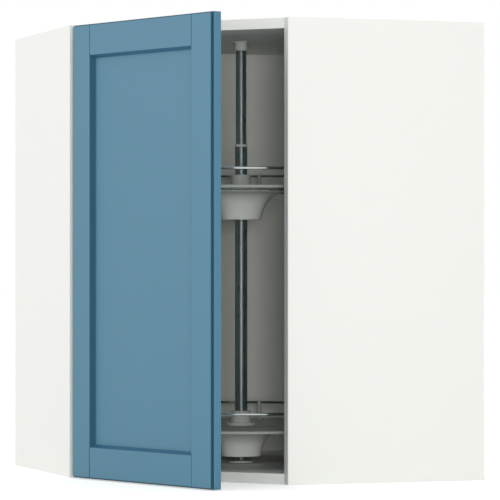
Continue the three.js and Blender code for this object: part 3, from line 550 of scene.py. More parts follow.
@dataclass(frozen=True)
class Effect:
    """A shader node group that several finishes share, built on its first use.

    Args:
        name: The group's name.
        wire: Joins the group's inputs to its outputs.
        outputs: The names of the outputs.
        inputs: The default of each input by name; three numbers make a vector or colour.
    """

    name: str
    wire: Callable[[Graph, Given], Given]
    outputs: tuple[str, ...]
    inputs: dict[str, float | tuple[float, ...]]

    def _socket_kind(self, name: str) -> str:
        """The kind of socket that an input or output has."""
        plain = "NodeSocketVector" if isinstance(self.inputs.get(name), tuple) else "NodeSocketFloat"
        return "NodeSocketColor" if name.startswith("Colour") else plain

    def group(self) -> bpy.types.NodeTree:
        """Makes the node group, or finds it.

        Returns:
            The group that holds the effect.
        """
        found = bpy.data.node_groups.get(self.name)
        if found:
            return found
        tree = bpy.data.node_groups.new(self.name, "ShaderNodeTree")
        for name, default in self.inputs.items():
            kind = self._socket_kind(name)
            tree.interface.new_socket(name, in_out="INPUT", socket_type=kind).default_value = default
        for name in self.outputs:
            tree.interface.new_socket(name, in_out="OUTPUT", socket_type=self._socket_kind(name))
        graph = Graph(tree)
        entry = tree.nodes.new("NodeGroupInput")
        leave = tree.nodes.new("NodeGroupOutput")
        given = {name: entry.outputs[name] for name in self.inputs}
        graph.feed(leave, self.wire(graph, given))
        return tree

    def place(self, graph: Graph, **values: Value) -> Given:
        """Puts the effect in a material.

        Args:
            graph: The material's graph.
            values: Values or sockets for the inputs, with _ for a space in a name.

        Returns:
            The effect's outputs by name.
        """
        node = graph.tree.nodes.new("ShaderNodeGroup")
        node.node_tree = self.group()
        graph.feed(node, {key.replace("_", " "): value for key, value in values.items()})
        return {name: node.outputs[name] for name in self.outputs}


def wire_fine_grain(graph: Graph, given: Given) -> Given:
    """Even small bumps, as on foil, sprayed paint and eroded moulds.

    Args:
        graph: The group's graph.
        given: The group's inputs.

    Returns:
        The bumps' height, and the roughness that follows it.
    """
    finer, coarse_share, fine_share = 3.1, 0.65, 0.35
    coarse = graph.noise(given["Where"], given["Scale"], 1.0)
    fine = graph.noise(given["Where"], graph.times(given["Scale"], finer), 3.0)
    both = graph.math("ADD", graph.times(coarse, coarse_share), graph.times(fine, fine_share))
    rough = graph.math("ADD", given["Roughness"], graph.swing(both, given["Gloss spread"]))
    return {"Height": both, "Roughness": rough}


def wire_cloudy_tone(graph: Graph, given: Given) -> Given:
    """A colour that drifts a little lighter and darker over the surface.

    Args:
        graph: The group's graph.
        given: The group's inputs.

    Returns:
        The drifting colour.
    """
    slow = graph.noise(given["Where"], given["Scale"], 3.0)
    level = graph.math("ADD", graph.swing(slow, given["Amount"]), 1.0)
    scaled = graph.add("VectorMath", {0: given["Colour"], 3: level}, operation="SCALE")
    return {"Colour": scaled.outputs[0]}


def wire_edge_wear(graph: Graph, given: Given) -> Given:
    """A mask along the outer arrises, broken up by noise.

    Args:
        graph: The group's graph.
        given: The group's inputs.

    Returns:
        The mask.
    """
    turn_away, breaks_size, breaks_range, breaks_level = (0.995, 0.86), 180.0, (0.42, 0.62), (0.25, 1.0)
    round_normal = graph.add("Bevel", {"Radius": given["Width"]}, samples=4).outputs[0]
    facing = graph.vector("DOT_PRODUCT", round_normal, graph.normal())
    edge = graph.ramp(facing.outputs["Value"], turn_away)
    noise = graph.noise(given["Where"], breaks_size, 3.0)
    breaks = graph.ramp(noise, breaks_range, breaks_level)
    return {"Mask": graph.times(graph.times(edge, breaks), given["Amount"])}


def wire_painted_corner_shade(graph: Graph, given: Given) -> Given:
    """A mask of painted shade in grooves and inner corners, as strong as ambient occlusion finds them
    hidden.

    Args:
        graph: The group's graph.
        given: The group's inputs.

    Returns:
        The mask.
    """
    open_to_hidden = (1.0, 0.35)
    settings = {"samples": 8, "only_local": False}
    hidden = graph.add("AmbientOcclusion", {"Distance": given["Reach"]}, **settings)
    return {"Mask": graph.times(graph.ramp(hidden.outputs["AO"], open_to_hidden), given["Amount"])}


def wire_settled_dust(graph: Graph, given: Given) -> Given:
    """A thin uneven film on what faces up.

    Args:
        graph: The group's graph.
        given: The group's inputs.

    Returns:
        The mask of the film.
    """
    sloping_to_flat, patch_size, patch_range, patch_level = (0.75, 0.98), 9.0, (0.35, 0.75), (0.3, 1.0)
    up = graph.add("SeparateXYZ", {0: graph.normal()}).outputs["Z"]
    flat = graph.ramp(up, sloping_to_flat)
    patches = graph.ramp(graph.noise(given["Where"], patch_size, 5.0), patch_range, patch_level)
    return {"Mask": graph.times(graph.times(flat, patches), given["Amount"])}


def wire_drawn_lines(graph: Graph, given: Given) -> Given:
    """Fine lines along one direction, as drawing or brushing leaves on metal.

    Args:
        graph: The group's graph.
        given: The group's inputs.

    Returns:
        The lines' height, and the roughness that follows it.
    """
    stretched = graph.vector("MULTIPLY", given["Where"], given["Stretch"])
    lines = graph.noise(stretched.outputs[0], 1.0, 4.0)
    rough = graph.math("ADD", given["Roughness"], graph.swing(lines, given["Gloss spread"]))
    return {"Height": lines, "Roughness": rough}


FINE_GRAIN = Effect(
    "Fine grain", wire_fine_grain, ("Height", "Roughness"),
    {"Where": ORIGIN, "Scale": 900.0, "Roughness": 0.4, "Gloss spread": 0.1},
)
CLOUDY_TONE = Effect(
    "Cloudy tone", wire_cloudy_tone, ("Colour",),
    {"Where": ORIGIN, "Colour": (1.0, 1.0, 1.0, 1.0), "Scale": 5.0, "Amount": 0.04},
)
EDGE_WEAR = Effect(
    "Edge wear", wire_edge_wear, ("Mask",), {"Where": ORIGIN, "Width": 0.0008, "Amount": 0.5}
)
# Painted shade: darkens a colour in grooves and inner corners, by ambient occlusion.
PAINTED_CORNER_SHADE = Effect("Painted corner shade", wire_painted_corner_shade, ("Mask",), {"Reach": 0.01, "Amount": 0.5})
SETTLED_DUST = Effect("Settled dust", wire_settled_dust, ("Mask",), {"Where": ORIGIN, "Amount": 0.2})
DRAWN_LINES = Effect(
    "Drawn lines", wire_drawn_lines, ("Height", "Roughness"),
    {"Where": ORIGIN, "Stretch": (900.0, 900.0, 12.0), "Roughness": 0.2, "Gloss spread": 0.1},
)


# ---------------------------------------------------------------- finishes


def linear(colour: Iterable[float], lighter: float = 0) -> tuple[float, ...]:
    """A screen colour from 0 to 255, made lighter or darker, as the shader's linear one."""
    steps = [min(255, max(0, c + lighter)) / 255 for c in colour]
    return (*[s / 12.92 if s <= 0.04045 else ((s + 0.055) / 1.055) ** 2.4 for s in steps], 1.0)


@dataclass(frozen=True)
class Finish:
    """What every finish has.

    Args:
        name: The material's name.
        slot: The record's slot that it belongs to; not used.
        colour: The screen colour, from 0 to 255.
        roughness: The shader's roughness.
    """

    name: str
    slot: Slot
    colour: Colour
    roughness: float

    def material(self) -> bpy.types.Material:
        """Makes the material, or finds it.

        Returns:
            The finished material.
        """
        found = bpy.data.materials.get(self.name)
        if found:
            return found
        made = bpy.data.materials.new(self.name)
        made.use_nodes = True
        graph = Graph(made.node_tree)
        shader = graph.add("BsdfPrincipled")
        graph.add("OutputMaterial", {"Surface": shader.outputs["BSDF"]})
        self.wire(graph, shader)
        return made

    def wire(self, graph: Graph, shader: bpy.types.Node) -> None:
        """Joins the finish's effects to the shader."""
        raise NotImplementedError

    def skin(
        self, graph: Graph, shader: bpy.types.Node, colour: Value, rough: Value, height: Value,
        depth: float,
    ) -> None:
        """Feeds a colour, a roughness and a bump to the shader.

        Args:
            graph: The material's graph.
            shader: The shader.
            colour: The base colour.
            rough: The roughness.
            height: The bump's height, from 0 to 1.
            depth: The bump's full depth, in millimetres.
        """
        bump = graph.add("Bump", {"Height": height, "Strength": 1.0, "Distance": depth * MM})
        normal = bump.outputs["Normal"]
        graph.feed(shader, {"Base Color": colour, "Roughness": rough, "Normal": normal})


@dataclass(frozen=True)
class Coating(Finish):
    """Foil, paint or moulded plastic: a coloured skin with a fine grain.

    Args:
        grain_size: The grain's size in millimetres.
        grain_depth: The grain's depth in millimetres.
        cloud: How much the tone drifts.
        shade: How strongly shade is painted into inner corners, from 0 to 1.
        shade_reach: How far the painted shade reaches from a corner, in millimetres.
        shade_colour: The colour that the painted shade reaches in the darkest corners.
        wear: How much the arrises show it.
        wear_colour: The colour of the worn arrises.
        dust: How much dust lies on what faces up.
        dust_colour: The dust's colour.
        dust_rough: How much rougher full dust makes the surface.
        shine: The shader's specular level.
    """

    grain_size: float = 0.7
    grain_depth: float = 0.02
    cloud: float = 0.03
    shade: float = 0.0
    shade_reach: float = 7.0
    shade_colour: Colour = (60, 60, 58)
    wear: float = 0.0
    wear_colour: Colour = (250, 250, 247)
    dust: float = 0.0
    dust_colour: Colour = (176, 174, 168)
    dust_rough: float = 0.3
    shine: float = 0.3

    def wire(self, graph: Graph, shader: bpy.types.Node) -> None:
        """Joins tone, painted corner shade, arrises, dust and grain to the shader.

        Args:
            graph: The material's graph.
            shader: The material's shader.
        """
        where = graph.object_place()
        tone = CLOUDY_TONE.place(graph, Where=where, Colour=linear(self.colour), Amount=self.cloud)
        colour = tone["Colour"]
        # Painted shade: the colour darkens towards the shade colour in grooves and inner corners.
        if self.shade:
            corner_painted_shade = PAINTED_CORNER_SHADE.place(graph, Reach=self.shade_reach * MM, Amount=self.shade)
            colour = graph.blend(corner_painted_shade["Mask"], colour, linear(self.shade_colour))
        if self.wear:
            arrises = EDGE_WEAR.place(graph, Where=where, Amount=self.wear)
            colour = graph.blend(arrises["Mask"], colour, linear(self.wear_colour))
        grain_scale = 1 / (self.grain_size * MM)
        grain = FINE_GRAIN.place(graph, Where=where, Scale=grain_scale, Roughness=self.roughness)
        rough = grain["Roughness"]
        if self.dust:
            film = SETTLED_DUST.place(graph, Where=where, Amount=self.dust)
            colour = graph.blend(film["Mask"], colour, linear(self.dust_colour))
            rough = graph.math("ADD", rough, graph.times(film["Mask"], self.dust_rough))
        graph.feed(shader, {"Specular IOR Level": self.shine})
        self.skin(graph, shader, colour, rough, grain["Height"], self.grain_depth)


@dataclass(frozen=True)
class ClearMoulding(Coating):
    """Soft clear plastic, milky where it is thick.

    Args:
        clearness: How much light passes through.
        refraction: How strongly it bends light.
    """

    clearness: float = 0.7
    refraction: float = 1.45

    def wire(self, graph: Graph, shader: bpy.types.Node) -> None:
        """Adds the clearness to the moulding's own skin."""
        super().wire(graph, shader)
        graph.feed(shader, {"Transmission Weight": self.clearness, "IOR": self.refraction})


@dataclass(frozen=True)
class Plating(Finish):
    """Bright or brushed metal.

    Args:
        stretch: How often the drawn lines repeat along each axis, per metre.
        gloss_spread: How much the lines change the roughness.
        line_depth: The lines' depth in millimetres.
        cloud: How much the tone drifts.
        cloud_scale: How often it drifts, per metre.
        spangle: The size of crystal patches in millimetres, or 0.
        spangle_rough: How much rougher the palest patches are.
        spangle_blend: How much of their pale tone shows.
        spangle_paler: How much paler that tone is, in steps of the screen colour.
        wear: How much the arrises show it.
        wear_width: The worn arrises' width in metres.
        wear_colour: Their colour.
    """

    stretch: Triple
    gloss_spread: float
    line_depth: float = 0.004
    cloud: float = 0.05
    cloud_scale: float = 40.0
    spangle: float = 0.0
    spangle_rough: float = 0.16
    spangle_blend: float = 0.5
    spangle_paler: float = 26
    wear: float = 0.35
    wear_width: float = 0.0004
    wear_colour: Colour = (236, 238, 238)

    def wire(self, graph: Graph, shader: bpy.types.Node) -> None:
        """Joins tone and drawn lines, and any spangle, to the shader.

        Args:
            graph: The material's graph.
            shader: The material's shader.
        """
        where = graph.object_place()
        base = linear(self.colour)
        tone = {"Colour": base, "Scale": self.cloud_scale, "Amount": self.cloud}
        colour = CLOUDY_TONE.place(graph, Where=where, **tone)["Colour"]
        drawn = {"Stretch": self.stretch, "Roughness": self.roughness, "Gloss_spread": self.gloss_spread}
        lines = DRAWN_LINES.place(graph, Where=where, **drawn)
        rough = lines["Roughness"]
        if self.spangle:
            scale = 1 / (self.spangle * MM)
            patch, _ = graph.patches(graph.vector("MULTIPLY", where, (scale,) * 3).outputs[0])
            rough = graph.math("ADD", rough, graph.times(patch, self.spangle_rough))
            pale = linear(self.colour, self.spangle_paler)
            colour = graph.blend(graph.times(patch, self.spangle_blend), colour, pale)
        arrises = EDGE_WEAR.place(graph, Where=where, Width=self.wear_width, Amount=self.wear)
        colour = graph.blend(arrises["Mask"], colour, linear(self.wear_colour))
        graph.feed(shader, {"Metallic": 1.0})
        self.skin(graph, shader, colour, rough, lines["Height"], self.line_depth)


@dataclass(frozen=True)
class RawBoard(Finish):
    """The pressed wood chips that show on an edge without banding.

    Args:
        chips: How often the chips repeat along each axis, per metre.
        chip_depth: How deep the hollows between them are, in millimetres.
        paler: How much paler the palest chips are, in steps of the screen colour.
        darker: How much darker the darkest are.
        fibre: How often the chips' own grain repeats, per metre.
    """

    chips: Triple = (420.0, 420.0, 160.0)
    chip_depth: float = 0.25
    paler: float = 34
    darker: float = -46
    fibre: float = 1500.0

    def wire(self, graph: Graph, shader: bpy.types.Node) -> None:
        """Joins chips of two tones and their hollows to the shader.

        Args:
            graph: The material's graph.
            shader: The material's shader.
        """
        where = graph.object_place()
        stretched = graph.vector("MULTIPLY", where, self.chips)
        tone, hollow = graph.patches(stretched.outputs[0])
        colour = graph.blend(tone, linear(self.colour, self.darker), linear(self.colour, self.paler))
        grain = FINE_GRAIN.place(graph, Where=where, Scale=self.fibre, Roughness=self.roughness)
        self.skin(graph, shader, colour, grain["Roughness"], hollow, self.chip_depth)


WHITE_FOIL = Coating(
    "White foil", Slot.WHITE_FOIL, (240, 241, 236), 0.46,
    grain_size=1.3, grain_depth=0.015, cloud=0.012, wear=0.15,
)
# The edge band is its own glossier band. Its colour is a little darker than the foil: painted shade for the
# front edges, which lie in shade.
EDGE_BAND_WITH_PAINTED_SHADE = replace(
    WHITE_FOIL, name="White edge band with painted shade", colour=(228, 229, 224), roughness=0.36,
    grain_size=0.8, grain_depth=0.008, wear=0.2,
)
RAW_BOARD = RawBoard("Raw board edge", Slot.WHITE_FOIL, (186, 158, 120), 0.85)
BACK_FOIL = Coating(
    "Back board foil", Slot.BACK_FOIL, (240, 240, 233), 0.55,
    grain_size=1.8, grain_depth=0.03, cloud=0.02,
)
# Painted shade on the door: a darker blue on the step round the front, the seams and the bead stands in for
# the shade in those hollows.
MOULDING_PAINTED_SHADE = Coating(
    "Blue paint with painted shade in the mouldings", Slot.BLUE_PAINT, (34, 80, 103), 0.45, grain_size=2.2, cloud=0.02
)
# A lighter painted shade, for the bead's top and bottom bars.
BAR_PAINTED_SHADE = replace(MOULDING_PAINTED_SHADE, name="Blue paint with lighter painted shade on the sloping bars", colour=(48, 98, 127))
# The door's blue, with painted shade in its inner corners.
BLUE_PAINT = replace(
    MOULDING_PAINTED_SHADE, name="Blue paint", colour=(80, 126, 149),
    shade=0.75, shade_colour=(36, 72, 90), wear=0.12, wear_colour=(120, 160, 182),
)
GREY_PLASTIC = Coating("Grey plastic", Slot.GREY_PLASTIC, (192, 197, 191), 0.45, dust=0.1)
PALE_PLASTIC = replace(
    GREY_PLASTIC, name="Pale grey plastic", colour=(232, 235, 229), roughness=0.5
)
RIM_PLASTIC = replace(GREY_PLASTIC, name="Grey rim plastic", colour=(163, 168, 162), roughness=0.4)
TRAY_PLASTIC = Coating(
    "Dark tray plastic", Slot.TRAY_DARK, (128, 137, 128), 0.28,
    grain_size=0.9, grain_depth=0.01, cloud=0.04, dust=0.08, shine=0.5,
)
CLEAR_BUMPER = ClearMoulding(
    "Clear bumper", Slot.BUMPER, (228, 232, 233), 0.22, grain_size=0.6, grain_depth=0.005
)
CHROME = Plating(
    "Chrome", Slot.CHROME, (186, 193, 191), 0.12,
    stretch=(500.0, 500.0, 3.0), gloss_spread=0.05, line_depth=0.001,
)
SATIN_STEEL = replace(
    CHROME, name="Satin steel tube", colour=(188, 200, 199), roughness=0.38, gloss_spread=0.06
)
STEEL = Plating(
    "Nickel-plated steel", Slot.STEEL, (186, 189, 188), 0.28,
    stretch=(60.0, 900.0, 900.0), gloss_spread=0.14,
)
ZINC = Plating(
    "Zinc-plated steel", Slot.ZINC, (168, 173, 175), 0.36,
    stretch=(300.0, 300.0, 300.0), gloss_spread=0.12, spangle=4.0,
)


# ---------------------------------------------------------------- making pieces


@dataclass(frozen=True)
class Accent:
    """A second finish on some of a piece's faces.

    Args:
        finish: The finish.
        holds: Whether a face has it, from its middle and its normal in the workshop's frame.
    """

    finish: Finish
    holds: Callable[[Vector, Vector], bool]


def soften_arrises(item: bpy.types.Object, radius: float, steps: int, angle: float) -> None:
    """Rounds an object's arrises.

    Args:
        item: The object.
        radius: The arrises' radius in millimetres.
        steps: The steps round an arris.
        angle: The angle, in degrees, from which an edge is rounded.
    """
    bevel = item.modifiers.new("arrises", "BEVEL")
    bevel.width = radius * MM
    bevel.segments = steps
    bevel.limit_method = "ANGLE"
    bevel.angle_limit = math.radians(angle)
    bevel.harden_normals = True


@dataclass(frozen=True)
class Workshop:
    """Makes the pieces that ride on one body.

    Args:
        body: The body.
        place: Where the forms' own frame stands in the row frame, in millimetres.
    """

    body: Body
    place: Matrix

    def piece(
        self,
        name: str,
        form: Form,
        finish: Finish,
        stands_for: Sequence[str] = (),
        edge: float = 0.0,
        edge_steps: int = 2,
        sharp: float = 38.0,
        accents: Sequence[Accent] = (),
    ) -> None:
        """Makes one piece and dresses it.

        Args:
            name: The piece's name.
            form: Its shape, in the workshop's frame.
            finish: Its finish.
            stands_for: The frame's nodes that it replaces.
            edge: The radius of its arrises in millimetres, or 0 where the form has its own.
            edge_steps: The steps round an arris.
            sharp: The angle, in degrees, from which an edge is shown sharp.
            accents: Finishes that some of its faces have instead.
        """
        data = form.placed(self.place).mesh(name, MM)
        data.shade_smooth()
        piece = bpy.data.objects.new(name, data)
        bpy.context.scene.collection.objects.link(piece)
        if edge:
            soften_arrises(piece, edge, edge_steps, 30)
        else:
            data.set_sharp_from_angle(angle=math.radians(sharp))
            piece.modifiers.new("even shading", "WEIGHTED_NORMAL").keep_sharp = True
        data.materials.append(finish.material())
        inward = self.place.inverted()
        for index, accent in enumerate(accents, 1):
            data.materials.append(accent.finish.material())
            for face in data.polygons:
                if accent.holds(inward @ (face.center / MM), inward.to_3x3() @ face.normal):
                    face.material_index = index
        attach(piece, self.body.value)
        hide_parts(*stands_for)
        log.info("%s: %d faces on %s", name, len(data.polygons), self.body.value)


FIXED = Workshop(Body.CABINET, Matrix.Identity(4))


def dress_node(node: str, finish: Finish, edge: float) -> None:
    """Gives a frame node its finish and softens its arrises.

    Args:
        node: The node's name.
        finish: The finish that it takes.
        edge: The radius of its arrises in millimetres.
    """
    weld_reach, rounded_from = 0.01, 32
    item = frame["nodes"][node]
    item.data.materials.clear()
    item.data.materials.append(finish.material())
    item.modifiers.new("weld", "WELD").merge_threshold = weld_reach * MM
    soften_arrises(item, edge, 2, rounded_from)
    log.info("%s: dressed as it is", node)


@dataclass(frozen=True)
class Screw:
    """A screw with a domed head and a cross recess, made with its head up Z.

    Args:
        head: The head's radius.
        head_height: The head's height.
        shank: The shank's radius.
        length: The shank's length under the head.
        pitch: The thread's pitch.
        root: The radius between the threads, as a share of the shank's.
        threaded: The share of the shank that has a thread.
        arm: Half the cross's width, as a share of the head's radius.
        web: Half its bars' thickness, as such a share.
        taper: How much of the cross's size is left at its foot.
    """

    head: float
    head_height: float
    shank: float
    length: float
    pitch: float = 1.2
    root: float = 0.72
    threaded: float = 0.7
    arm: float = 0.56
    web: float = 0.17
    taper: float = 0.62

    def _recess(self) -> Form:
        """The tapering cross that the driver fits.

        Returns:
            What the recess is cut with.
        """
        arm, web = self.head * self.arm, self.head * self.web
        cross = [
            (arm, -web), (arm, web), (web, web), (web, arm), (-web, arm), (-web, web),
            (-arm, web), (-arm, -web), (-web, -web), (-web, -arm), (web, -arm), (web, -web),
        ]
        form = prism(cross, -self.head_height * 0.2, self.head_height + OVERCUT)
        for point in form.points[:len(cross)]:
            point.x *= self.taper
            point.y *= self.taper
        return form

    def form(self, place: Matrix) -> Form:
        """The whole screw.

        Args:
            place: Where the underside of its head is, and the way that it faces.

        Returns:
            The head with its recess, on a threaded shank.
        """
        root, point, bare = self.shank * self.root, self.shank * 0.4, self.length * 0.12
        thread: list[Point] = []
        for i in range(max(2, int(self.length * self.threaded / self.pitch))):
            foot = -self.length + bare + i * self.pitch
            thread += [(root, foot), (self.shank, foot + self.pitch / 2)]
        tip = [(0.0, -self.length), (point, -self.length + 0.3)]
        neck = [(root, thread[-1][1] + self.pitch / 2), (root, 0.0)]
        dome = arc((0.0, self.head_height * 0.3), (self.head, self.head_height * 0.7), range(0, 90, 15))
        head = [(self.head * 0.97, 0.0), *dome, (0.0, self.head_height)]
        whole = turned([*tip, *thread, *neck, *head], 24)
        return carved(whole, self._recess()).placed(place)


WOOD_SCREW = Screw(head=4.0, head_height=1.8, shank=1.7, length=12.0)
SMALL_SCREW = Screw(head=3.2, head_height=1.4, shank=1.4, length=7.0, pitch=0.9)
RING_SCREW = replace(SMALL_SCREW, length=5.6, pitch=0.7)
TUBE_SCREW = Screw(head=2.6, head_height=1.2, shank=1.2, length=1.4, pitch=0.4)


# ---------------------------------------------------------------- carcass


@dataclass(frozen=True)
class BracketSizes:
    """The sizes of a hanging bracket.

    Args:
        thickness: The plate's thickness.
        tongue: Half the height of the tongue that passes the back board.
        drop: How far the hook hangs under the tongue.
        hook: The hook's width.
        bend: The radius of the plate's corners.
        peg_spacing: The way between its two pegs.
        rib_half: Half the stiffening rib's height.
        rib_round: The radius of the rib's ends.
        rib_rise: How far the rib stands out.
        rib_ends: How far the rib stops short of the plate's front and rear.
    """

    thickness: float = 2.5
    tongue: float = 7.5
    drop: float = 14.0
    hook: float = 4.0
    bend: float = 1.6
    peg_spacing: float = 34.0
    rib_half: float = 3.0
    rib_round: float = 2.9
    rib_rise: float = 1.1
    rib_ends: Point = (8.0, 6.0)


@dataclass(frozen=True)
class Carcass:
    """The boards, and what hangs them on the wall.

    Args:
        plan: The carcass's plan.
        band: The edge bands' thickness.
        band_arris: The radius of the bands' arrises.
        board_arris: The radius of the boards' other arrises.
        back_arris: The radius of the back boards' arrises.
        post_arris: The radius of the corner post's arrises.
        groove: How deep the back boards stand in the side panels.
        hanger: The hanging brackets' sizes.
    """

    plan: Plan
    band: float = 1.0
    band_arris: float = 0.6
    board_arris: float = 0.25
    back_arris: float = 0.15
    post_arris: float = 1.2
    groove: float = 6.0
    hanger: BracketSizes = BracketSizes()

    def build(self) -> None:
        """Builds the boards, the back and the brackets."""
        for side in Side:
            self.side_panel(side)
            self.back_board(side)
            self.bracket(side)
        for end in End:
            self.five_sided_board(end)
        self.batten()

    def _is_rear_edge(self, middle: Vector, normal: Vector) -> bool:
        """Whether a face is a rear edge, which no one sees and no band covers."""
        edge = self.plan.half - NEAR
        return (middle.x < -edge and normal.x < -FACING) or (middle.y > edge and normal.y > FACING)

    def _back(self) -> Limits:
        """The left back board's limits."""
        return Limits.of("back_panel_left")

    def _banded(self, name: str, node: str, core: Form, band: Form) -> None:
        """Makes a board with raw rear edges, and the band on its front edge.

        Args:
            name: The pieces' name, with {} for what each is.
            node: The node that the board stands for.
            core: The board's form.
            band: The band's form.
        """
        raw = [Accent(RAW_BOARD, self._is_rear_edge)]
        FIXED.piece(name.format("board"), core, WHITE_FOIL, [node], self.board_arris, accents=raw)
        FIXED.piece(name.format("edge_band"), band, EDGE_BAND_WITH_PAINTED_SHADE, edge=self.band_arris)

    def side_panel(self, side: Side) -> None:
        """Builds a side panel with its front edge band.

        Args:
            side: Which of the two it is.
        """
        plan = self.plan
        y, z = (-plan.half, -plan.inner), (0, plan.height)
        core_end = plan.front - self.band
        core = carved(block((-plan.half, core_end), y, z), self._back().filled(SEAT))
        band = block((core_end, plan.front), y, z)
        name, node = f"side_{{}}_{side.value}", f"side_panel_{side.value}"
        self._banded(name, node, on_side(core, side), on_side(band, side))

    def five_sided_board(self, end: End) -> None:
        """Builds the top or bottom board between the side panels.

        Args:
            end: Which of the two it is.
        """
        plan = self.plan
        z = (0, plan.board) if end is End.BOTTOM else (plan.height - plan.board, plan.height)
        side_face = plan.inner - SEAT
        setback = self.band * math.sqrt(2)
        front = [(plan.front, -side_face), (side_face, -plan.front)]
        behind = [(plan.front - setback, -side_face), (side_face, -plan.front + setback)]
        rear = [(side_face, plan.half), (-plan.half, plan.half), (-plan.half, -side_face)]
        tool = self._back().filled(SEAT)
        core = carved(prism([*behind, *rear], *z), tool, on_side(tool, Side.RIGHT))
        band = prism([*front, *reversed(behind)], *z)
        self._banded(f"{end.value}_{{}}", f"{end.value}_panel", core, band)

    def back_board(self, side: Side) -> None:
        """Builds a back board with the slot that its bracket's tongue passes.

        Args:
            side: Which of the two it is.
        """
        back, hanger, inner = self._back(), self.hanger, self.plan.inner
        tongue = hanger.tongue + SEAT
        middle = Limits.of("hanging_bracket_left").middle.z
        slot = block(
            (back.low.x - OVERCUT, back.high.x + OVERCUT),
            (-inner - self.groove, -inner + hanger.thickness + 2 * SEAT),
            (middle - tongue, middle + tongue),
        )
        form = on_side(carved(back.filled(), slot), side)
        name, node = f"back_board_{side.value}", f"back_panel_{side.value}"
        FIXED.piece(name, form, BACK_FOIL, [node], self.back_arris, 1)

    def batten(self) -> None:
        """Builds the post in the rear corner that takes both back boards."""
        tool, post = self._back().filled(SEAT), Limits.of("back_corner_batten")
        form = carved(post.filled(), tool, on_side(tool, Side.RIGHT))
        FIXED.piece("corner_post", form, WHITE_FOIL, ["back_corner_batten"], self.post_arris, 3)

    def bracket(self, side: Side) -> None:
        """Builds a hanging bracket: plate, hook, stiffening rib and two pegs.

        Args:
            side: Which of the two it is.
        """
        hanger, space = self.hanger, Limits.of("hanging_bracket_left")
        front, rear, end = space.high.x, self._back().high.x + SEAT, space.low.x
        top, foot = space.high.z, space.low.z
        middle = (top + foot) / 2
        over, under = middle + hanger.tongue, middle - hanger.tongue
        outline = [
            (front, foot), (rear, foot), (rear, under), (end + hanger.hook, under),
            (end + hanger.hook, under - hanger.drop), (end, under - hanger.drop), (end, over),
            (rear, over), (rear, top), (front, top),
        ]
        face = -self.plan.inner + SEAT + hanger.thickness
        plate = prism(softened(outline, hanger.bend, 4), 0, hanger.thickness)
        plate = plate.placed(at(0, face, 0, Axis.AGAINST_Y))
        rib = rounded_plate(
            (front - hanger.rib_ends[0], rear + hanger.rib_ends[1]),
            (middle - hanger.rib_half, middle + hanger.rib_half), (0, hanger.rib_rise), hanger.rib_round,
        ).placed(at(0, face + hanger.rib_rise, 0, Axis.AGAINST_Y))
        node = f"hanging_bracket_{side.value}"
        FIXED.piece(f"wall_bracket_{side.value}", on_side(plate, side), ZINC, [node], 0.3)
        FIXED.piece(f"wall_bracket_rib_{side.value}", on_side(rib, side), ZINC, edge=0.5, edge_steps=3)
        for number, way in PAIR:
            height = middle + way * hanger.peg_spacing / 2
            peg = WOOD_SCREW.form(at((rear + front) / 2, face, height, Axis.ALONG_Y))
            FIXED.piece(f"wall_bracket_peg_{side.value}_{number}", on_side(peg, side), STEEL)


# ---------------------------------------------------------------- door


@dataclass(frozen=True)
class HingeSizes:
    """The sizes that the door and both halves of a hinge share.

    Args:
        edge_margin: The way from the door's edge to the cup.
        cup_radius: The cup's radius.
        cup_wall: The cup's wall.
        cup_floor: The thickness of its floor.
        cup_flange: The thickness of its flange.
        cup_bore: How deep it stands in the door.
        cup_arris: The radius of its bent edges.
        ear_half: Half the width of the flange's wings.
        ear_round: The radius of their corners.
        screw_spacing: The way between the flange's screws.
        lug: The thickness of the lugs that hold the pin.
        lug_radius: The radius of their round ends.
        pin_bore: The radius of their bores.
        arm_half: Half the arm's width.
        arm_wall: The arm's wall.
    """

    edge_margin: float = 3.0
    cup_radius: float = 17.5
    cup_wall: float = 1.2
    cup_floor: float = 1.0
    cup_flange: float = 1.4
    cup_bore: float = 13.0
    cup_arris: float = 1.2
    ear_half: float = 7.0
    ear_round: float = 6.9
    screw_spacing: float = 48.0
    lug: float = 2.0
    lug_radius: float = 3.0
    pin_bore: float = 1.8
    arm_half: float = 5.7
    arm_wall: float = 1.6

    def cup_x(self, leaf: Limits) -> float:
        """The middle of the cups along the door's width."""
        return leaf.low.x + self.edge_margin + self.cup_radius


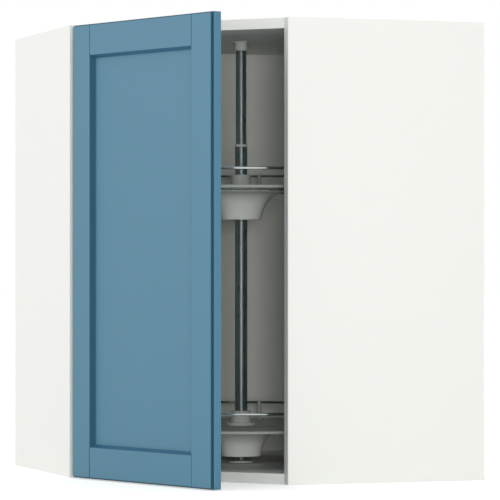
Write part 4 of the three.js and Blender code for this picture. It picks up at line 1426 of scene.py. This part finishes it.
@dataclass(frozen=True)
class Door:
    """The framed door, made in its own frame on the hinge pin.

    Args:
        place: Where the door's frame stands.
        stiles: The width of the hinge-side and of the free stile.
        rail: The rails' height.
        quirk: The width and depth of the step round the front.
        bead: How far the bead round the panel reaches in, and its arris.
        joint: How far the bead stands off the frame and the panel.
        seam: The width and depth of the groove where rail meets stile.
        arris: The radius of the painted arrises.
        bumper: The bumpers' radius.
        hinge: The hinges' sizes.
    """

    place: Matrix
    stiles: Point = (52.0, 55.0)
    rail: float = 55.0
    quirk: Point = (2.4, 4.7)
    bead: Point = (5.2, 0.2)
    joint: float = 0.05
    seam: Point = (1.3, 1.2)
    arris: float = 0.5
    bumper: float = 4.0
    hinge: HingeSizes = HingeSizes()

    @property
    def shop(self) -> Workshop:
        """The workshop of the door's own frame."""
        return Workshop(Body.DOOR, self.place)

    @property
    def leaf(self) -> Limits:
        """The whole leaf's limits in the door's frame."""
        return Limits(self.space("door_stile_hinge").low, self.space("door_stile_free").high)

    def space(self, node: str) -> Limits:
        """A node's limits in the door's frame."""
        return Limits.of(node, self.place)

    def build(self) -> None:
        """Builds the frame's four members, the bead, the panel and the bumpers."""
        leaf = self.leaf
        x = (leaf.low.x + self.stiles[0], leaf.high.x - self.stiles[1])
        z = (leaf.low.z + self.rail, leaf.high.z - self.rail)
        full_height, depth = (leaf.low.z, leaf.high.z), (leaf.low.y, leaf.high.y)
        tools = [*self._edge_tools(x, z), *self._seam_tools(x, z)]
        cups = [self._cup_tool(level) for level in Level]
        # Painted shade: the step round the front, the seams and the sloping walls take the darker blue.
        moulding_painted_shade = Accent(MOULDING_PAINTED_SHADE, self._is_moulding)
        members = (
            ("hinge_stile", "door_stile_hinge", (leaf.low.x, x[0]), full_height, cups),
            ("free_stile", "door_stile_free", (x[1], leaf.high.x), full_height, []),
            ("bottom_rail", "door_rail_bottom", x, (leaf.low.z, z[0]), []),
            ("top_rail", "door_rail_top", x, (z[1], leaf.high.z), []),
        )
        for name, node, wide, high, bores in members:
            form = carved(block(wide, depth, high), *tools, *bores)
            self.shop.piece(f"door_{name}", form, BLUE_PAINT, [node], self.arris, 3, accents=[moulding_painted_shade])
        self._bead(x, z)
        panel = self.space("door_panel").filled()
        self.shop.piece("door_centre_panel", panel, BLUE_PAINT, ["door_panel"], self.arris)
        for end in End:
            self._bumper(end)

    def _is_moulding(self, middle: Vector, normal: Vector) -> bool:
        """Whether a face is a seam's wall, or a wall or the ledge of the step round the edge.

        Args:
            middle: The face's middle.
            normal: Its normal.

        Returns:
            Whether the blue paint with painted shade is on it.
        """
        leaf, (width, depth) = self.leaf, self.quirk
        step = leaf.low.y + depth
        to_sides = (middle.x - leaf.low.x, leaf.high.x - middle.x)
        inset = min(*to_sides, middle.z - leaf.low.z, leaf.high.z - middle.z)
        leans = -FACING < normal.y < -NEAR
        on_wall = middle.y < step - 0.01 and abs(normal.y) < NEAR and inset > width - NEAR
        on_ledge = abs(middle.y - step) < NEAR and normal.y < -FACING and inset < width
        return leans or on_wall or on_ledge

    def _bead(self, x: Point, z: Point) -> None:
        """Builds the mitred bead that leans from the frame's front edge to the panel.

        Args:
            x: The opening's left and right side.
            z: Its bottom and top.
        """
        front, rear = self.leaf.low.y + self.arris, self.space("door_panel").low.y - self.joint
        run, arris = self.bead
        form = upright_frame(x, z, ((front, self.joint), (rear, self.joint), (rear, run)))
        # Painted shade on the bead: darker blue on its side bars, a lighter painted shade on its top and
        # bottom bars.
        level_bars = Accent(BAR_PAINTED_SHADE, lambda middle, normal: abs(normal.z) > 0.3)
        self.shop.piece("door_bead", form, MOULDING_PAINTED_SHADE, edge=arris, accents=[level_bars])

    def _edge_tools(self, x: Point, z: Point) -> list[Form]:
        """What cuts the walls behind the panel, the panel's groove and the step round the front.

        Args:
            x: The opening's left and right side.
            z: Its bottom and top.

        Returns:
            The three tools.
        """
        leaf, panel, (width, depth) = self.leaf, self.space("door_panel"), self.quirk
        behind = block(x, (panel.high.y + SEAT, leaf.high.y + OVERCUT), z)
        front, rear = leaf.low.y - OVERCUT, leaf.low.y + depth
        section = ((front, -OVERCUT), (front, width), (rear, width), (rear, -OVERCUT))
        step = upright_frame((leaf.low.x, leaf.high.x), (leaf.low.z, leaf.high.z), section)
        return [behind, panel.filled(SEAT), step]

    def _seam_tools(self, x: Point, z: Point) -> list[Form]:
        """What cuts the fine grooves where the rails meet the stiles.

        Args:
            x: The opening's left and right side.
            z: Its bottom and top.

        Returns:
            The four wedges.
        """
        leaf, (width, depth) = self.leaf, self.seam
        half, overlap = width / 2 + 0.5, 0.05
        front = leaf.low.y - OVERCUT
        rails = ((leaf.low.z - OVERCUT, z[0] + overlap), (z[1] - overlap, leaf.high.z + OVERCUT))
        wedges = [[(a - half, front), (a + half, front), (a, leaf.low.y + depth)] for a in x]
        return [prism(wedge, *rail) for wedge in wedges for rail in rails]

    def _cup_tool(self, level: Level) -> Form:
        """The bore for a hinge cup.

        Args:
            level: Which of the two hinges it is for.

        Returns:
            What the bore is cut with.
        """
        height = self.space(f"hinge_cup_{level.value}").middle.z
        place = at(self.hinge.cup_x(self.leaf), self.leaf.high.y + OVERCUT, height, Axis.AGAINST_Y)
        tool = rod(self.hinge.cup_radius + SEAT, (0.0, self.hinge.cup_bore + OVERCUT), 48)
        return tool.placed(place)

    def _bumper(self, end: End) -> None:
        """Builds a clear bumper on the door's rear.

        Args:
            end: Which of the two it is.
        """
        space, radius = self.space(f"door_bumper_{end.value}"), self.bumper
        face = self.leaf.high.y + SEAT
        height = space.high.y - face
        dome = arc((radius * 0.8, height * 0.45), (radius * 0.2, height * 0.55), range(0, 91, 15))
        form = turned([(0.0, 0.0), (radius, 0.0), *dome, (0.0, height)], 32)
        form = form.placed(at(space.middle.x, face, space.middle.z, Axis.ALONG_Y))
        self.shop.piece(f"bumper_{end.value}", form, CLEAR_BUMPER, [f"door_bumper_{end.value}"])


# ---------------------------------------------------------------- hinges


@dataclass(frozen=True)
class Hinge:
    """One door hinge: the cup on the door, and the arm, plate and cap on the side panel.

    Args:
        level: Which of the two hinges it is.
        door: The door that the cup is set in.
        plan: The carcass's plan.
        plate: The side plate's thickness.
        plate_half: Half its width.
        plate_height: Its height.
        plate_round: The radius of its corners.
        plate_lead: How far its middle is in front of the arm's screw.
        plate_screw_spacing: The way between its screws.
        screw_bore: The radius of the bore in its boss.
        cap_wall: The cap's wall.
        grip: The pitch, width and depth of the cap's grip lines.
        grip_margin: How far they start from the cap's front, and how far they stop from its edges.
        grip_count: How many there are.
    """

    level: Level
    door: Door
    plan: Plan
    plate: float = 3.0
    plate_half: float = 10.0
    plate_height: float = 50.0
    plate_round: float = 5.0
    plate_lead: float = 16.0
    plate_screw_spacing: float = 32.0
    screw_bore: float = 1.7
    cap_wall: float = 1.2
    grip: Triple = (2.4, 1.0, 0.4)
    grip_margin: Point = (6.0, 3.0)
    grip_count: int = 5

    def build(self) -> None:
        """Builds both halves."""
        self.cup()
        self.pin()
        self.arm()
        self.side_plate()
        self.cap()

    def _name(self, part: str) -> str:
        """A piece's or a node's name with the hinge's level."""
        return f"{part}_{self.level.value}"

    def cup(self) -> None:
        """Builds the pressed cup with its winged flange, its lugs and its two screws."""
        sizes, leaf, shop = self.door.hinge, self.door.leaf, self.door.shop
        x, z = sizes.cup_x(leaf), self.door.space(self._name("hinge_pin")).middle.z
        mouth, base = leaf.high.y + SEAT, leaf.high.y - sizes.cup_bore + SEAT
        flange_top = mouth + sizes.cup_flange
        depth, floor = flange_top - base, sizes.cup_floor
        outer, inner = sizes.cup_radius, sizes.cup_radius - sizes.cup_wall
        profile = [(0.0, 0.0), (outer, 0.0), (outer, depth), (inner, depth), (inner, floor), (0.0, floor)]
        shell = turned(softened(profile, sizes.cup_arris, 4), 64).placed(at(x, base, z, Axis.ALONG_Y))
        shop.piece(self._name("cup_shell"), shell, STEEL, [self._name("hinge_cup")])
        half, reach = sizes.ear_half, sizes.screw_spacing / 2 + sizes.ear_half
        wing = rounded_plate((-half, half), (-reach, reach), (0, sizes.cup_flange), sizes.ear_round)
        hole = rod(outer - 0.2, (-OVERCUT, 4.0), 48)
        flange = carved(wing, hole).placed(at(x, mouth, z, Axis.ALONG_Y))
        shop.piece(self._name("cup_flange"), flange, STEEL, edge=0.4)
        self._lugs(x, base, z)
        for number, way in PAIR:
            screw = SMALL_SCREW.form(
                at(x, flange_top, z + way * sizes.screw_spacing / 2, Axis.ALONG_Y)
            )
            shop.piece(self._name("cup_screw") + f"_{number}", screw, STEEL)

    def _lugs(self, x: float, base: float, z: float) -> None:
        """Builds the two lugs in the cup that hold the pin.

        Args:
            x: The middle of the cup along the door's width.
            base: The depth of the cup's underside.
            z: The middle of the cup's height.
        """
        sizes = self.door.hinge
        radius, floor, reach, clear = sizes.lug_radius, base + sizes.cup_floor, 20, 1.3
        outline = [(-radius, floor), (radius, floor)]
        outline += arc((0.0, 0.0), (radius, radius), range(0, 181, 15))
        bore = rod(sizes.pin_bore, (z - reach, z + reach))
        room = rod(sizes.cup_radius - clear, (-OVERCUT, 30.0), 64).placed(at(x, base, z, Axis.ALONG_Y))
        for number, way in PAIR:
            near = way * (sizes.arm_half + SEAT)
            far = way * (sizes.arm_half + SEAT + sizes.lug)
            lug = prism(outline, z + min(near, far), z + max(near, far))
            form = carved(carved(lug, bore), room, cut=Cut.INSIDE)
            self.door.shop.piece(self._name("cup_lug") + f"_{number}", form, STEEL, edge=0.25)

    def pin(self) -> None:
        """Builds the pin, with its domed ends."""
        node, dome, end_share = self._name("hinge_pin"), 0.5, 0.7
        space = self.door.space(node)
        radius, low, high = space.high.x, space.low.z, space.high.z
        end = radius * end_share
        profile = [(0.0, low), (end, low), (radius, low + dome)]
        profile += [(radius, high - dome), (end, high), (0.0, high)]
        self.door.shop.piece(self._name("pin"), turned(profile, 32), STEEL, [node])

    def arm(self) -> None:
        """Dresses the pressed arm, and builds the screw that holds it."""
        dress_node(self._name("hinge_arm"), STEEL, 0.35)
        node = self._name("hinge_arm_screw")
        space = Limits.of(node)
        under_head = space.high.y - SMALL_SCREW.head_height
        place = at(space.middle.x, under_head, space.middle.z, Axis.ALONG_Y)
        FIXED.piece(self._name("arm_screw"), SMALL_SCREW.form(place), STEEL, [node])

    def side_plate(self) -> None:
        """Builds the plate on the side panel: winged base, boss and two screws."""
        node, sizes = self._name("hinge_plate"), self.door.hinge
        space, arm_screw = Limits.of(node), Limits.of(self._name("hinge_arm_screw")).middle
        foot, x, z = -self.plan.inner + SEAT, arm_screw.x + self.plate_lead, arm_screw.z
        wide = (x - self.plate_half, x + self.plate_half)
        high = (z - self.plate_height / 2, z + self.plate_height / 2)
        top = foot + self.plate
        wing = rounded_plate(wide, high, (0, self.plate), self.plate_round)
        wing = wing.placed(at(0, top, 0, Axis.AGAINST_Y))
        half = sizes.arm_half - sizes.arm_wall - SEAT
        boss = block((space.low.x, space.high.x), (foot, space.high.y), (z - half, z + half))
        hole = rod(self.screw_bore, (-9.0, 9.0))
        boss = carved(boss, hole.placed(at(arm_screw.x, space.high.y, z, Axis.ALONG_Y)))
        FIXED.piece(self._name("plate_wing"), wing, STEEL, [node], 0.5)
        FIXED.piece(self._name("plate_boss"), boss, STEEL, edge=0.5)
        for number, way in PAIR:
            place = at(x, top, z + way * self.plate_screw_spacing / 2, Axis.ALONG_Y)
            FIXED.piece(self._name("plate_screw") + f"_{number}", WOOD_SCREW.form(place), STEEL)

    def cap(self) -> None:
        """Builds the cap over the arm, with its grip lines."""
        node, wall, (pitch, width, depth) = self._name("hinge_cap"), self.cap_wall, self.grip
        space = Limits.of(node)
        low, high = space.low, space.high
        inside = block(
            (low.x - OVERCUT, high.x + OVERCUT), (low.y - OVERCUT, high.y - wall),
            (low.z + wall, high.z - wall),
        )
        start, stop = high.x - self.grip_margin[0], self.grip_margin[1]
        across = ((high.y - depth, high.y + OVERCUT), (low.z + stop, high.z - stop))
        fronts = [start - i * pitch for i in range(self.grip_count)]
        form = carved(space.filled(), inside, *[block((a - width, a), *across) for a in fronts])
        FIXED.piece(self._name("arm_cap"), form, GREY_PLASTIC, [node], 0.3)


# ---------------------------------------------------------------- pole


@dataclass(frozen=True)
class Pole:
    """The telescopic pole with its fittings.

    Args:
        plan: The carcass's plan.
        lower_wall: The lower tube's wall.
        upper_wall: The upper tube's wall.
        tube_arris: The radius of the tubes' rims.
        fitting_arris: The radius of the fittings' edges.
        drill: Where the drills that bore the lower tube start and end, from the pole's middle.
        hole_radius: The radius of the holes in the lower tube's front.
        hole_heights: The holes' heights, read from the photograph.
        lock_radius: The radius of the lock screw's hole.
        front_bearing: The way that the front holes face, in degrees.
        lock_bearing: The way that the lock screw faces.
        collar_rim: The height of the bush's full-width part.
        foot_flange: The thickness of the foot's flange.
        foot_bores: The radius of the foot's bore, and of the hole under it.
        head_sleeve: The radius of the sleeve under the top board.
        head_flange: The thickness of the flange under the top board.
        head_stub: The radius of the stub in the top board.
    """

    plan: Plan
    lower_wall: float = 1.4
    upper_wall: float = 1.5
    tube_arris: float = 0.5
    fitting_arris: float = 0.7
    drill: Point = (4.0, 20.0)
    hole_radius: float = 2.0
    hole_heights: Point = (284.0, 335.0)
    lock_radius: float = 1.5
    front_bearing: float = -45.0
    lock_bearing: float = 135.0
    collar_rim: float = 1.6
    foot_flange: float = 3.0
    foot_bores: Point = (5.0, 2.0)
    head_sleeve: float = 11.2
    head_flange: float = 2.4
    head_stub: float = 5.0

    def build(self) -> None:
        """Builds tubes, collar, screws, foot and top fitting."""
        self.lower_tube()
        self._part("upper_pole_tube", "pole_upper_tube", self._tube("pole_upper_tube", self.upper_wall))
        self.collar()
        self.foot()
        self.top_fitting()

    def _part(self, name: str, node: str, form: Form) -> None:
        """Makes a tube or a plastic fitting, which stands for a node."""
        FIXED.piece(name, form, SATIN_STEEL if "tube" in node else GREY_PLASTIC, [node])

    def _tube(self, node: str, wall: float) -> Form:
        """A tube of a node's outer size, with softened ends."""
        space = Limits.of(node)
        return sleeve((space.high.x - wall, space.high.x), (space.low.z, space.high.z), self.tube_arris)

    def lower_tube(self) -> None:
        """Builds the lower tube with its drilled holes and its lock screw."""
        radius, lock_height = Limits.of("pole_lower_tube").high.x, Limits.of("pole_lock_screw").middle.z
        holes = [(self.hole_radius, self.front_bearing, height) for height in self.hole_heights]
        holes.append((self.lock_radius, self.lock_bearing, lock_height))
        drills = [rod(size, self.drill).placed(around(way, 0, height)) for size, way, height in holes]
        tube = carved(self._tube("pole_lower_tube", self.lower_wall), *drills)
        self._part("lower_pole_tube", "pole_lower_tube", tube)
        screw = TUBE_SCREW.form(around(self.lock_bearing, radius + SEAT, lock_height))
        FIXED.piece("pole_tube_screw", screw, STEEL, ["pole_lock_screw"])

    def collar(self) -> None:
        """Builds the bush that closes the lower tube."""
        space, tube = Limits.of("pole_collar"), Limits.of("pole_upper_tube").high.x
        outer, bore, low, high = space.high.x, tube + SEAT, space.low.z, space.high.z
        profile = [(bore, low), (outer, low), (outer, low + self.collar_rim), (tube + 1, high), (bore, high)]
        self._part("pole_bush", "pole_collar", turned(softened(profile, 0.5)))

    def foot(self) -> None:
        """Builds the foot with its spigot, and its screw."""
        space, tube = Limits.of("pole_foot"), Limits.of("pole_lower_tube")
        rim, spigot = space.high.x, tube.high.x - self.lower_wall - SEAT
        (bore, hole), low, high = self.foot_bores, space.low.z, space.high.z
        top = low + self.foot_flange
        profile = [
            (hole, low), (rim, low), (rim, top), (spigot, top),
            (spigot, high), (bore, high), (bore, top), (hole, top),
        ]
        self._part("pole_base", "pole_foot", turned(softened(profile, self.fitting_arris)))
        place = at(0, 0, Limits.of("pole_foot_screw").high.z - WOOD_SCREW.head_height)
        FIXED.piece("pole_base_screw", WOOD_SCREW.form(place), STEEL, ["pole_foot_screw"])

    def top_fitting(self) -> None:
        """Builds the fitting under the top board: sleeve, flange, spigot and stub."""
        space, tube = Limits.of("pole_top_fitting"), Limits.of("pole_upper_tube")
        top = self.plan.height - self.plan.board - SEAT
        flange, rim, sleeve_foot = top - self.head_flange, space.high.x, tube.high.z + SEAT
        spigot, stub, wide = tube.high.x - self.upper_wall - SEAT, self.head_stub, self.head_sleeve
        profile = [
            (0.0, space.low.z), (spigot, space.low.z), (spigot, sleeve_foot), (wide, sleeve_foot),
            (wide, flange), (rim, flange), (rim, top), (stub, top), (stub, space.high.z),
            (0.0, space.high.z),
        ]
        self._part("pole_head", "pole_top_fitting", turned(softened(profile, self.fitting_arris)))


# ---------------------------------------------------------------- trays


@dataclass(frozen=True)
class Tray:
    """One tray with its rail, hub and cone, and what carries it on the pole.

    Args:
        level: Which of the two trays it is.
        bead: The radius, width and height of the bead on the floor.
        skin: The floor's thickness.
        rim: The width and the arris of the upstanding rim.
        rib_count: The radial ribs under the floor.
        rib_half: Half a rib's thickness.
        rib_depth: How far the ribs hang down.
        rib_ends: How far they stop short of the cone and of the rim.
        cone_top: The cone's radius under the floor.
        cone_waist: The radius that its curve leans towards.
        cone_mouth: Its radius at the mouth.
        cone_wall: Its wall, and its web's thickness.
        cone_lip: Half the height of the mouth's rounded lip.
        hub_neck: The radius and the depth of the neck through the floor.
        hub_flange: The radius and the height of the hub's flange.
        hub_radii: The hub's radius at its foot and at its top.
        hub_bore: How far the hub's bore is clear of the pole.
        groove: How far under the hub's top its groove is, its width, depth and lips.
        rail_wire: The rail wire's radius.
        post_radii: A post's radius at its foot and at its head.
        post_foot: How far its foot stands out, and the height over which it narrows.
        post_phase: The bearing of the first post, in degrees.
        post_count: How many posts there are.
        screw_bearing: The way that the height ring's screw faces.
        steps: The steps round the floor.
    """

    level: Level
    bead: Triple = (62.0, 5.0, 0.8)
    skin: float = 2.6
    rim: Point = (2.4, 1.0)
    rib_count: int = 24
    rib_half: float = 0.8
    rib_depth: float = 1.2
    rib_ends: Point = (3.0, 0.2)
    cone_top: float = 88.0
    cone_waist: float = 43.0
    cone_mouth: float = 36.0
    cone_wall: float = 2.2
    cone_lip: float = 0.9
    hub_neck: Point = (16.0, 34.0)
    hub_flange: Point = (27.3, 5.6)
    hub_radii: Point = (18.6, 17.9)
    hub_bore: float = 0.5
    groove: tuple[float, float, float, float] = (4.0, 0.6, 0.5, 0.4)
    rail_wire: float = 2.4
    post_radii: Point = (4.2, 3.6)
    post_foot: Point = (1.2, 1.0)
    post_phase: float = 152.4
    post_count: int = 3
    screw_bearing: float = 135.0
    steps: int = 180

    @property
    def floor(self) -> float:
        """The height of the floor's top in the row frame."""
        return Limits.of(self._node("disc")).low.z + self.skin

    @property
    def edge(self) -> float:
        """The radius where the floor ends and its rim starts."""
        return self._space("disc").high.x - self.rim[0]

    def _shop(self, body: Body) -> Workshop:
        """The workshop for a body, with z = 0 on the floor's top."""
        return Workshop(body, at(0, 0, self.floor))

    def _node(self, part: str) -> str:
        """The name of one of the tray's frame nodes or pieces."""
        return f"{self.level.value}_tray_{part}"

    def _space(self, part: str, node: str = "") -> Limits:
        """The limits of one of the tray's nodes, or of a node by its whole name, from the floor's top."""
        return Limits.of(node or self._node(part), at(0, 0, self.floor))

    def _make(
        self, name: str, form: Form, finish: Finish, part: str = "", edge: float = 0.0, sharp: float = 38.0
    ) -> None:
        """Makes a piece that turns with the tray.

        Args:
            name: The piece's name, without the tray's.
            form: Its shape.
            finish: Its finish.
            part: The node that it stands for, without the tray's name, if any.
            edge: The radius of its arrises.
            sharp: The angle from which an edge is shown sharp.
        """
        body = Body.LOWER_TRAY if self.level is Level.LOWER else Body.UPPER_TRAY
        nodes = [self._node(part)] if part else []
        self._shop(body).piece(self._node(name), form, finish, nodes, edge, sharp=sharp)

    def build(self) -> None:
        """Builds everything on the tray, and its carriers on the pole."""
        self.disc()
        self.ribs()
        self.hub()
        self.cone()
        self.nut()
        self.rail()
        self.posts()
        self.carriers()

    def disc(self) -> None:
        """Builds the floor with its bead, and the pale rim that stands up round it."""
        (middle, width, height), hole = self.bead, self.hub_neck[0] + SEAT
        bead = arc((middle, 0.0), (width / 2, height), range(180, -1, -20))
        profile = [(hole, -self.skin), (hole, 0.0), *bead, (self.edge, 0.0), (self.edge, -self.skin)]
        self._make("floor", turned(profile, self.steps), TRAY_PLASTIC, "disc")
        high = self._space("disc").high
        rim = sleeve((self.edge, high.x), (-self.skin, high.z), self.rim[1], self.steps, 4)
        self._make("floor_rim", rim, RIM_PLASTIC)

    def ribs(self) -> None:
        """Builds the radial ribs and one ring rib under the floor."""
        inner, outer = self.cone_top + self.rib_ends[0], self.edge - self.rib_ends[1]
        top, half = -self.skin + 0.05, self.rib_half
        z = (top - self.rib_depth, top)
        spoke = block((inner, outer), (-half, half), z)
        spokes = [spoke.spun(360 * i / self.rib_count) for i in range(self.rib_count)]
        middle = (inner + outer) / 2
        hoop = turned(corners((middle - half, middle + half), z), self.steps)
        self._make("floor_ribs", sum([*spokes, hoop], Form([], [])), TRAY_PLASTIC, sharp=30)

    def hub(self) -> None:
        """Builds the hub: flange, collar and the neck through the floor."""
        bore, top = Limits.of("pole_lower_tube").high.x + self.hub_bore, self._space("hub").high.z
        (neck, depth), (rim, flange), (foot_radius, radius) = self.hub_neck, self.hub_flange, self.hub_radii
        under_top, width, sunk, lip = self.groove
        low = top - under_top
        high = low + width
        flange_top, swell = SEAT + flange, radius + 0.1
        profile = [
            (bore, -depth), (bore, top), (radius, top), (swell, high + lip), (radius - sunk, high),
            (radius - sunk, low), (swell, low - lip), (foot_radius, flange_top), (rim, flange_top),
            (rim, SEAT), (neck, SEAT), (neck, -depth),
        ]
        self._make("collar", turned(softened(profile, 0.9)), GREY_PLASTIC, "hub")

    def _flare(self, inset: float, mouth: float, crown: float) -> list[Point]:
        """The flare's points from the mouth up, moved in by an inset.

        Args:
            inset: How far in from the cone's outside.
            mouth: The height of the mouth.
            crown: The height of the outside's top.

        Returns:
            The points.
        """
        start = Vector((self.cone_mouth - inset, mouth))
        waist = Vector((self.cone_waist - inset, crown + inset))
        end = Vector((self.cone_top, crown + inset))
        return bend(start, waist, end, 28)

    def cone(self) -> None:
        """Builds the trumpet-shaped cone under the tray, with its web and a rounded lip."""
        mouth, wall, lip = self._space("cone").low.z, self.cone_wall, self.cone_lip
        crown = -self.skin - wall - SEAT
        half = wall / 2
        round_lip = arc((self.cone_mouth - half, mouth + lip), (half, -lip), range(165, 0, -30))
        lip_top = mouth + lip + 0.05
        outside = [p for p in self._flare(0.0, mouth, crown) if p[1] > lip_top]
        inside = [p for p in self._flare(wall, mouth, crown) if p[1] > lip_top]
        shell = turned([*reversed(inside), *round_lip, *outside], 128)
        self._make("trumpet", shell, PALE_PLASTIC, "cone")
        top, outer = -self.skin - SEAT, self.cone_top - wall - 1
        web = sleeve((self.hub_neck[0] + SEAT, outer), (top - wall, top), 0.3, 128)
        self._make("trumpet_web", web, PALE_PLASTIC)

    def nut(self) -> None:
        """Builds the twelve-sided nut under the web."""
        space, bore = self._space("nut"), self.hub_neck[0] + SEAT
        low, high = space.low.z, space.high.z
        outline = arc((0.0, 0.0), (space.high.x, space.high.x), range(0, 360, 30))
        form = carved(prism(outline, low, high), rod(bore, (low - OVERCUT, high + OVERCUT), 64))
        self._make("lock_nut", form, GREY_PLASTIC, "nut", edge=0.5)

    def _wire(self, wire: float) -> Form:
        """A ring of wire where the rail is."""
        space = self._space("rail")
        return wire_ring(space.high.x - self.rail_wire, wire, space.middle.z)

    def rail(self) -> None:
        """Builds the round wire."""
        self._make("wire", self._wire(self.rail_wire), CHROME, "rail")

    def posts(self) -> None:
        """Builds the posts that clip round the wire."""
        top, (foot, head), (flare, narrowing) = self._space("post_1").high.z, self.post_radii, self.post_foot
        shoulder = SEAT + flare
        profile = [
            (0.0, SEAT), (foot + flare, SEAT), (foot + flare, shoulder),
            (foot, shoulder + narrowing), (head, top), (0.0, top),
        ]
        radius, limit = self._space("rail").high.x - self.rail_wire, self._space("disc").high.x
        post = turned(softened(profile, 1.0, 4), 40).placed(at(radius, 0, 0))
        room = rod(limit, (-OVERCUT, top + OVERCUT), 240)
        form = carved(carved(post, self._wire(self.rail_wire + SEAT)), room, cut=Cut.INSIDE)
        for i in range(self.post_count):
            turned_post = form.spun(self.post_phase + 360 * i / self.post_count)
            self._make(f"clip_post_{i + 1}", turned_post, GREY_PLASTIC, f"post_{i + 1}")

    def carriers(self) -> None:
        """Builds the washer and the height ring, which stay on the pole."""
        shop, level = self._shop(Body.CABINET), self.level.value
        bore = Limits.of("pole_lower_tube").high.x + SEAT
        for part, name, arris in (("thrust_washer", "washer", 0.4), ("height_ring", "stop_ring", 1.0)):
            node = f"{part}_{level}"
            space = self._space("", node)
            form = sleeve((bore, space.high.x), (space.low.z, space.high.z), arris)
            shop.piece(f"{name}_{level}", form, GREY_PLASTIC, [node])
        ring = self._space("", f"height_ring_{level}")
        screw = RING_SCREW.form(around(self.screw_bearing, ring.high.x + SEAT, ring.middle.z))
        shop.piece(f"stop_ring_screw_{level}", screw, STEEL, [f"height_ring_screw_{level}"])


# ---------------------------------------------------------------- studio


@dataclass(frozen=True)
class Lamp:
    """A soft lamp aimed at the cabinet.

    Args:
        name: The lamp's name.
        place: Where it stands, in metres.
        size: Its width and height in metres.
        level: How brightly a white board facing it renders, where 1 is white.
        in_metal: Whether it shows as a highlight in polished metal.
        target: The point that it is aimed at, in metres.
    """

    name: str
    place: Triple
    size: Point
    level: float
    in_metal: bool
    target: Triple = (0.0, 0.0, 0.4)

    def build(self) -> None:
        """Hangs the lamp."""
        data = bpy.data.lights.new(self.name, "AREA")
        data.shape = "RECTANGLE"
        data.size, data.size_y = self.size
        lamp = bpy.data.objects.new(self.name, data)
        lamp.location = self.place
        way = Vector(self.target) - Vector(self.place)
        lamp.rotation_euler = way.to_track_quat("-Z", "Y").to_euler()
        lamp.visible_glossy = self.in_metal
        data.energy = self.level * math.pi ** 2 * way.length_squared
        bpy.context.scene.collection.objects.link(lamp)


@dataclass(frozen=True)
class Studio:
    """The floor, the soft light and the camera.

    Args:
        camera_place: The camera's place in metres.
        camera_turn: Its rotation in degrees.
        lens: Its focal length.
        sensor: The width of its sensor.
        view_end: How far it sees, in metres.
        ambient: How much light comes from all round.
        lamps: The soft lamps.
        floor_side: The floor's half side in metres.
        floor_height: The floor's height in metres, just under the cabinet.
        floor_tone: How pale the floor is, from 0 to 1.
        floor_glow: How much it glows to the camera.
    """

    camera_place: Triple = (5.19027, -1.83386, 0.37164)
    camera_turn: Triple = (90.329, 0.0, 70.372)
    lens: float = 218.35
    sensor: float = 36.0
    view_end: float = 100.0
    ambient: float = 0.75
    lamps: tuple[Lamp, ...] = (
        Lamp("left front lamp", (-0.9, -4.2, 1.5), (2.6, 2.6), 0.2, True),
        Lamp("camera side lamp", (5.4, -1.58, 0.5), (0.9, 0.9), 0.31, False),
    )
    floor_side: float = 30.0
    floor_height: float = -0.0002
    floor_tone: float = 0.8
    floor_glow: float = 0.48

    def build(self) -> None:
        """Builds the studio round the cabinet."""
        bpy.context.scene.view_settings.view_transform = "Standard"
        self._camera()
        self._world()
        self._floor()
        for lamp in self.lamps:
            lamp.build()

    def _camera(self) -> None:
        """Places the camera at the photograph's angle."""
        data = bpy.data.cameras.new("camera")
        data.lens = self.lens
        data.sensor_width = self.sensor
        data.clip_end = self.view_end
        camera = bpy.data.objects.new("camera", data)
        camera.location = self.camera_place
        camera.rotation_euler = [math.radians(angle) for angle in self.camera_turn]
        bpy.context.scene.collection.objects.link(camera)
        bpy.context.scene.camera = camera

    def _shown_rays(self, graph: Graph) -> Socket:
        """1 for the rays that show the backdrop: to the camera, or by way of metal or glass.

        Args:
            graph: The graph of the world or material.

        Returns:
            The socket that says it.
        """
        rays = graph.add("LightPath").outputs
        seen = graph.math("MAXIMUM", rays["Is Camera Ray"], rays["Is Glossy Ray"])
        return graph.math("MAXIMUM", seen, rays["Is Transmission Ray"])

    def _world(self) -> None:
        """Sets even light from all round, in front of a white backdrop."""
        world = bpy.data.worlds.new("studio")
        bpy.context.scene.world = world
        world.use_nodes = True
        graph = Graph(world.node_tree)
        level = graph.ramp(self._shown_rays(graph), (0.0, 1.0), (self.ambient, 1.0))
        light = graph.add("Background", {"Color": (1.0, 1.0, 1.0, 1.0), "Strength": level})
        graph.add("OutputWorld", {"Surface": light.outputs[0]})

    def _floor(self) -> None:
        """Lays the pale floor, which shows white and keeps the cabinet's shadow."""
        data = bpy.data.meshes.new("studio_floor")
        span = (-self.floor_side, self.floor_side)
        data.from_pydata([(x, y, 0) for x, y in corners(span, span)], [], [(0, 1, 2, 3)])
        floor = bpy.data.objects.new("studio_floor", data)
        floor.location.z = self.floor_height
        bpy.context.scene.collection.objects.link(floor)
        material = bpy.data.materials.new("Studio floor")
        material.use_nodes = True
        graph = Graph(material.node_tree)
        glow = graph.times(self._shown_rays(graph), self.floor_glow)
        tone = (self.floor_tone, self.floor_tone, self.floor_tone, 1.0)
        matt = {"Base Color": tone, "Roughness": 0.9, "Specular IOR Level": 0.0}
        shader = graph.add("BsdfPrincipled", matt)
        light = graph.add("Emission", {"Color": (1.0, 1.0, 1.0, 1.0), "Strength": glow})
        both = graph.add("AddShader", {0: shader.outputs["BSDF"], 1: light.outputs["Emission"]})
        graph.add("OutputMaterial", {"Surface": both.outputs[0]})
        data.materials.append(material)


# ---------------------------------------------------------------- the whole scene


def main() -> None:
    """Builds the studio and every sub-assembly."""
    logging.basicConfig(level=logging.INFO, format="%(message)s")
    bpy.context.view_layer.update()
    Studio().build()
    plan = Plan.from_frame()
    door = Door(door_place())
    Carcass(plan).build()
    door.build()
    for level in Level:
        Hinge(level, door, plan).build()
    Pole(plan).build()
    for level in Level:
        Tray(level).build()


if __name__ == "__main__":
    main()
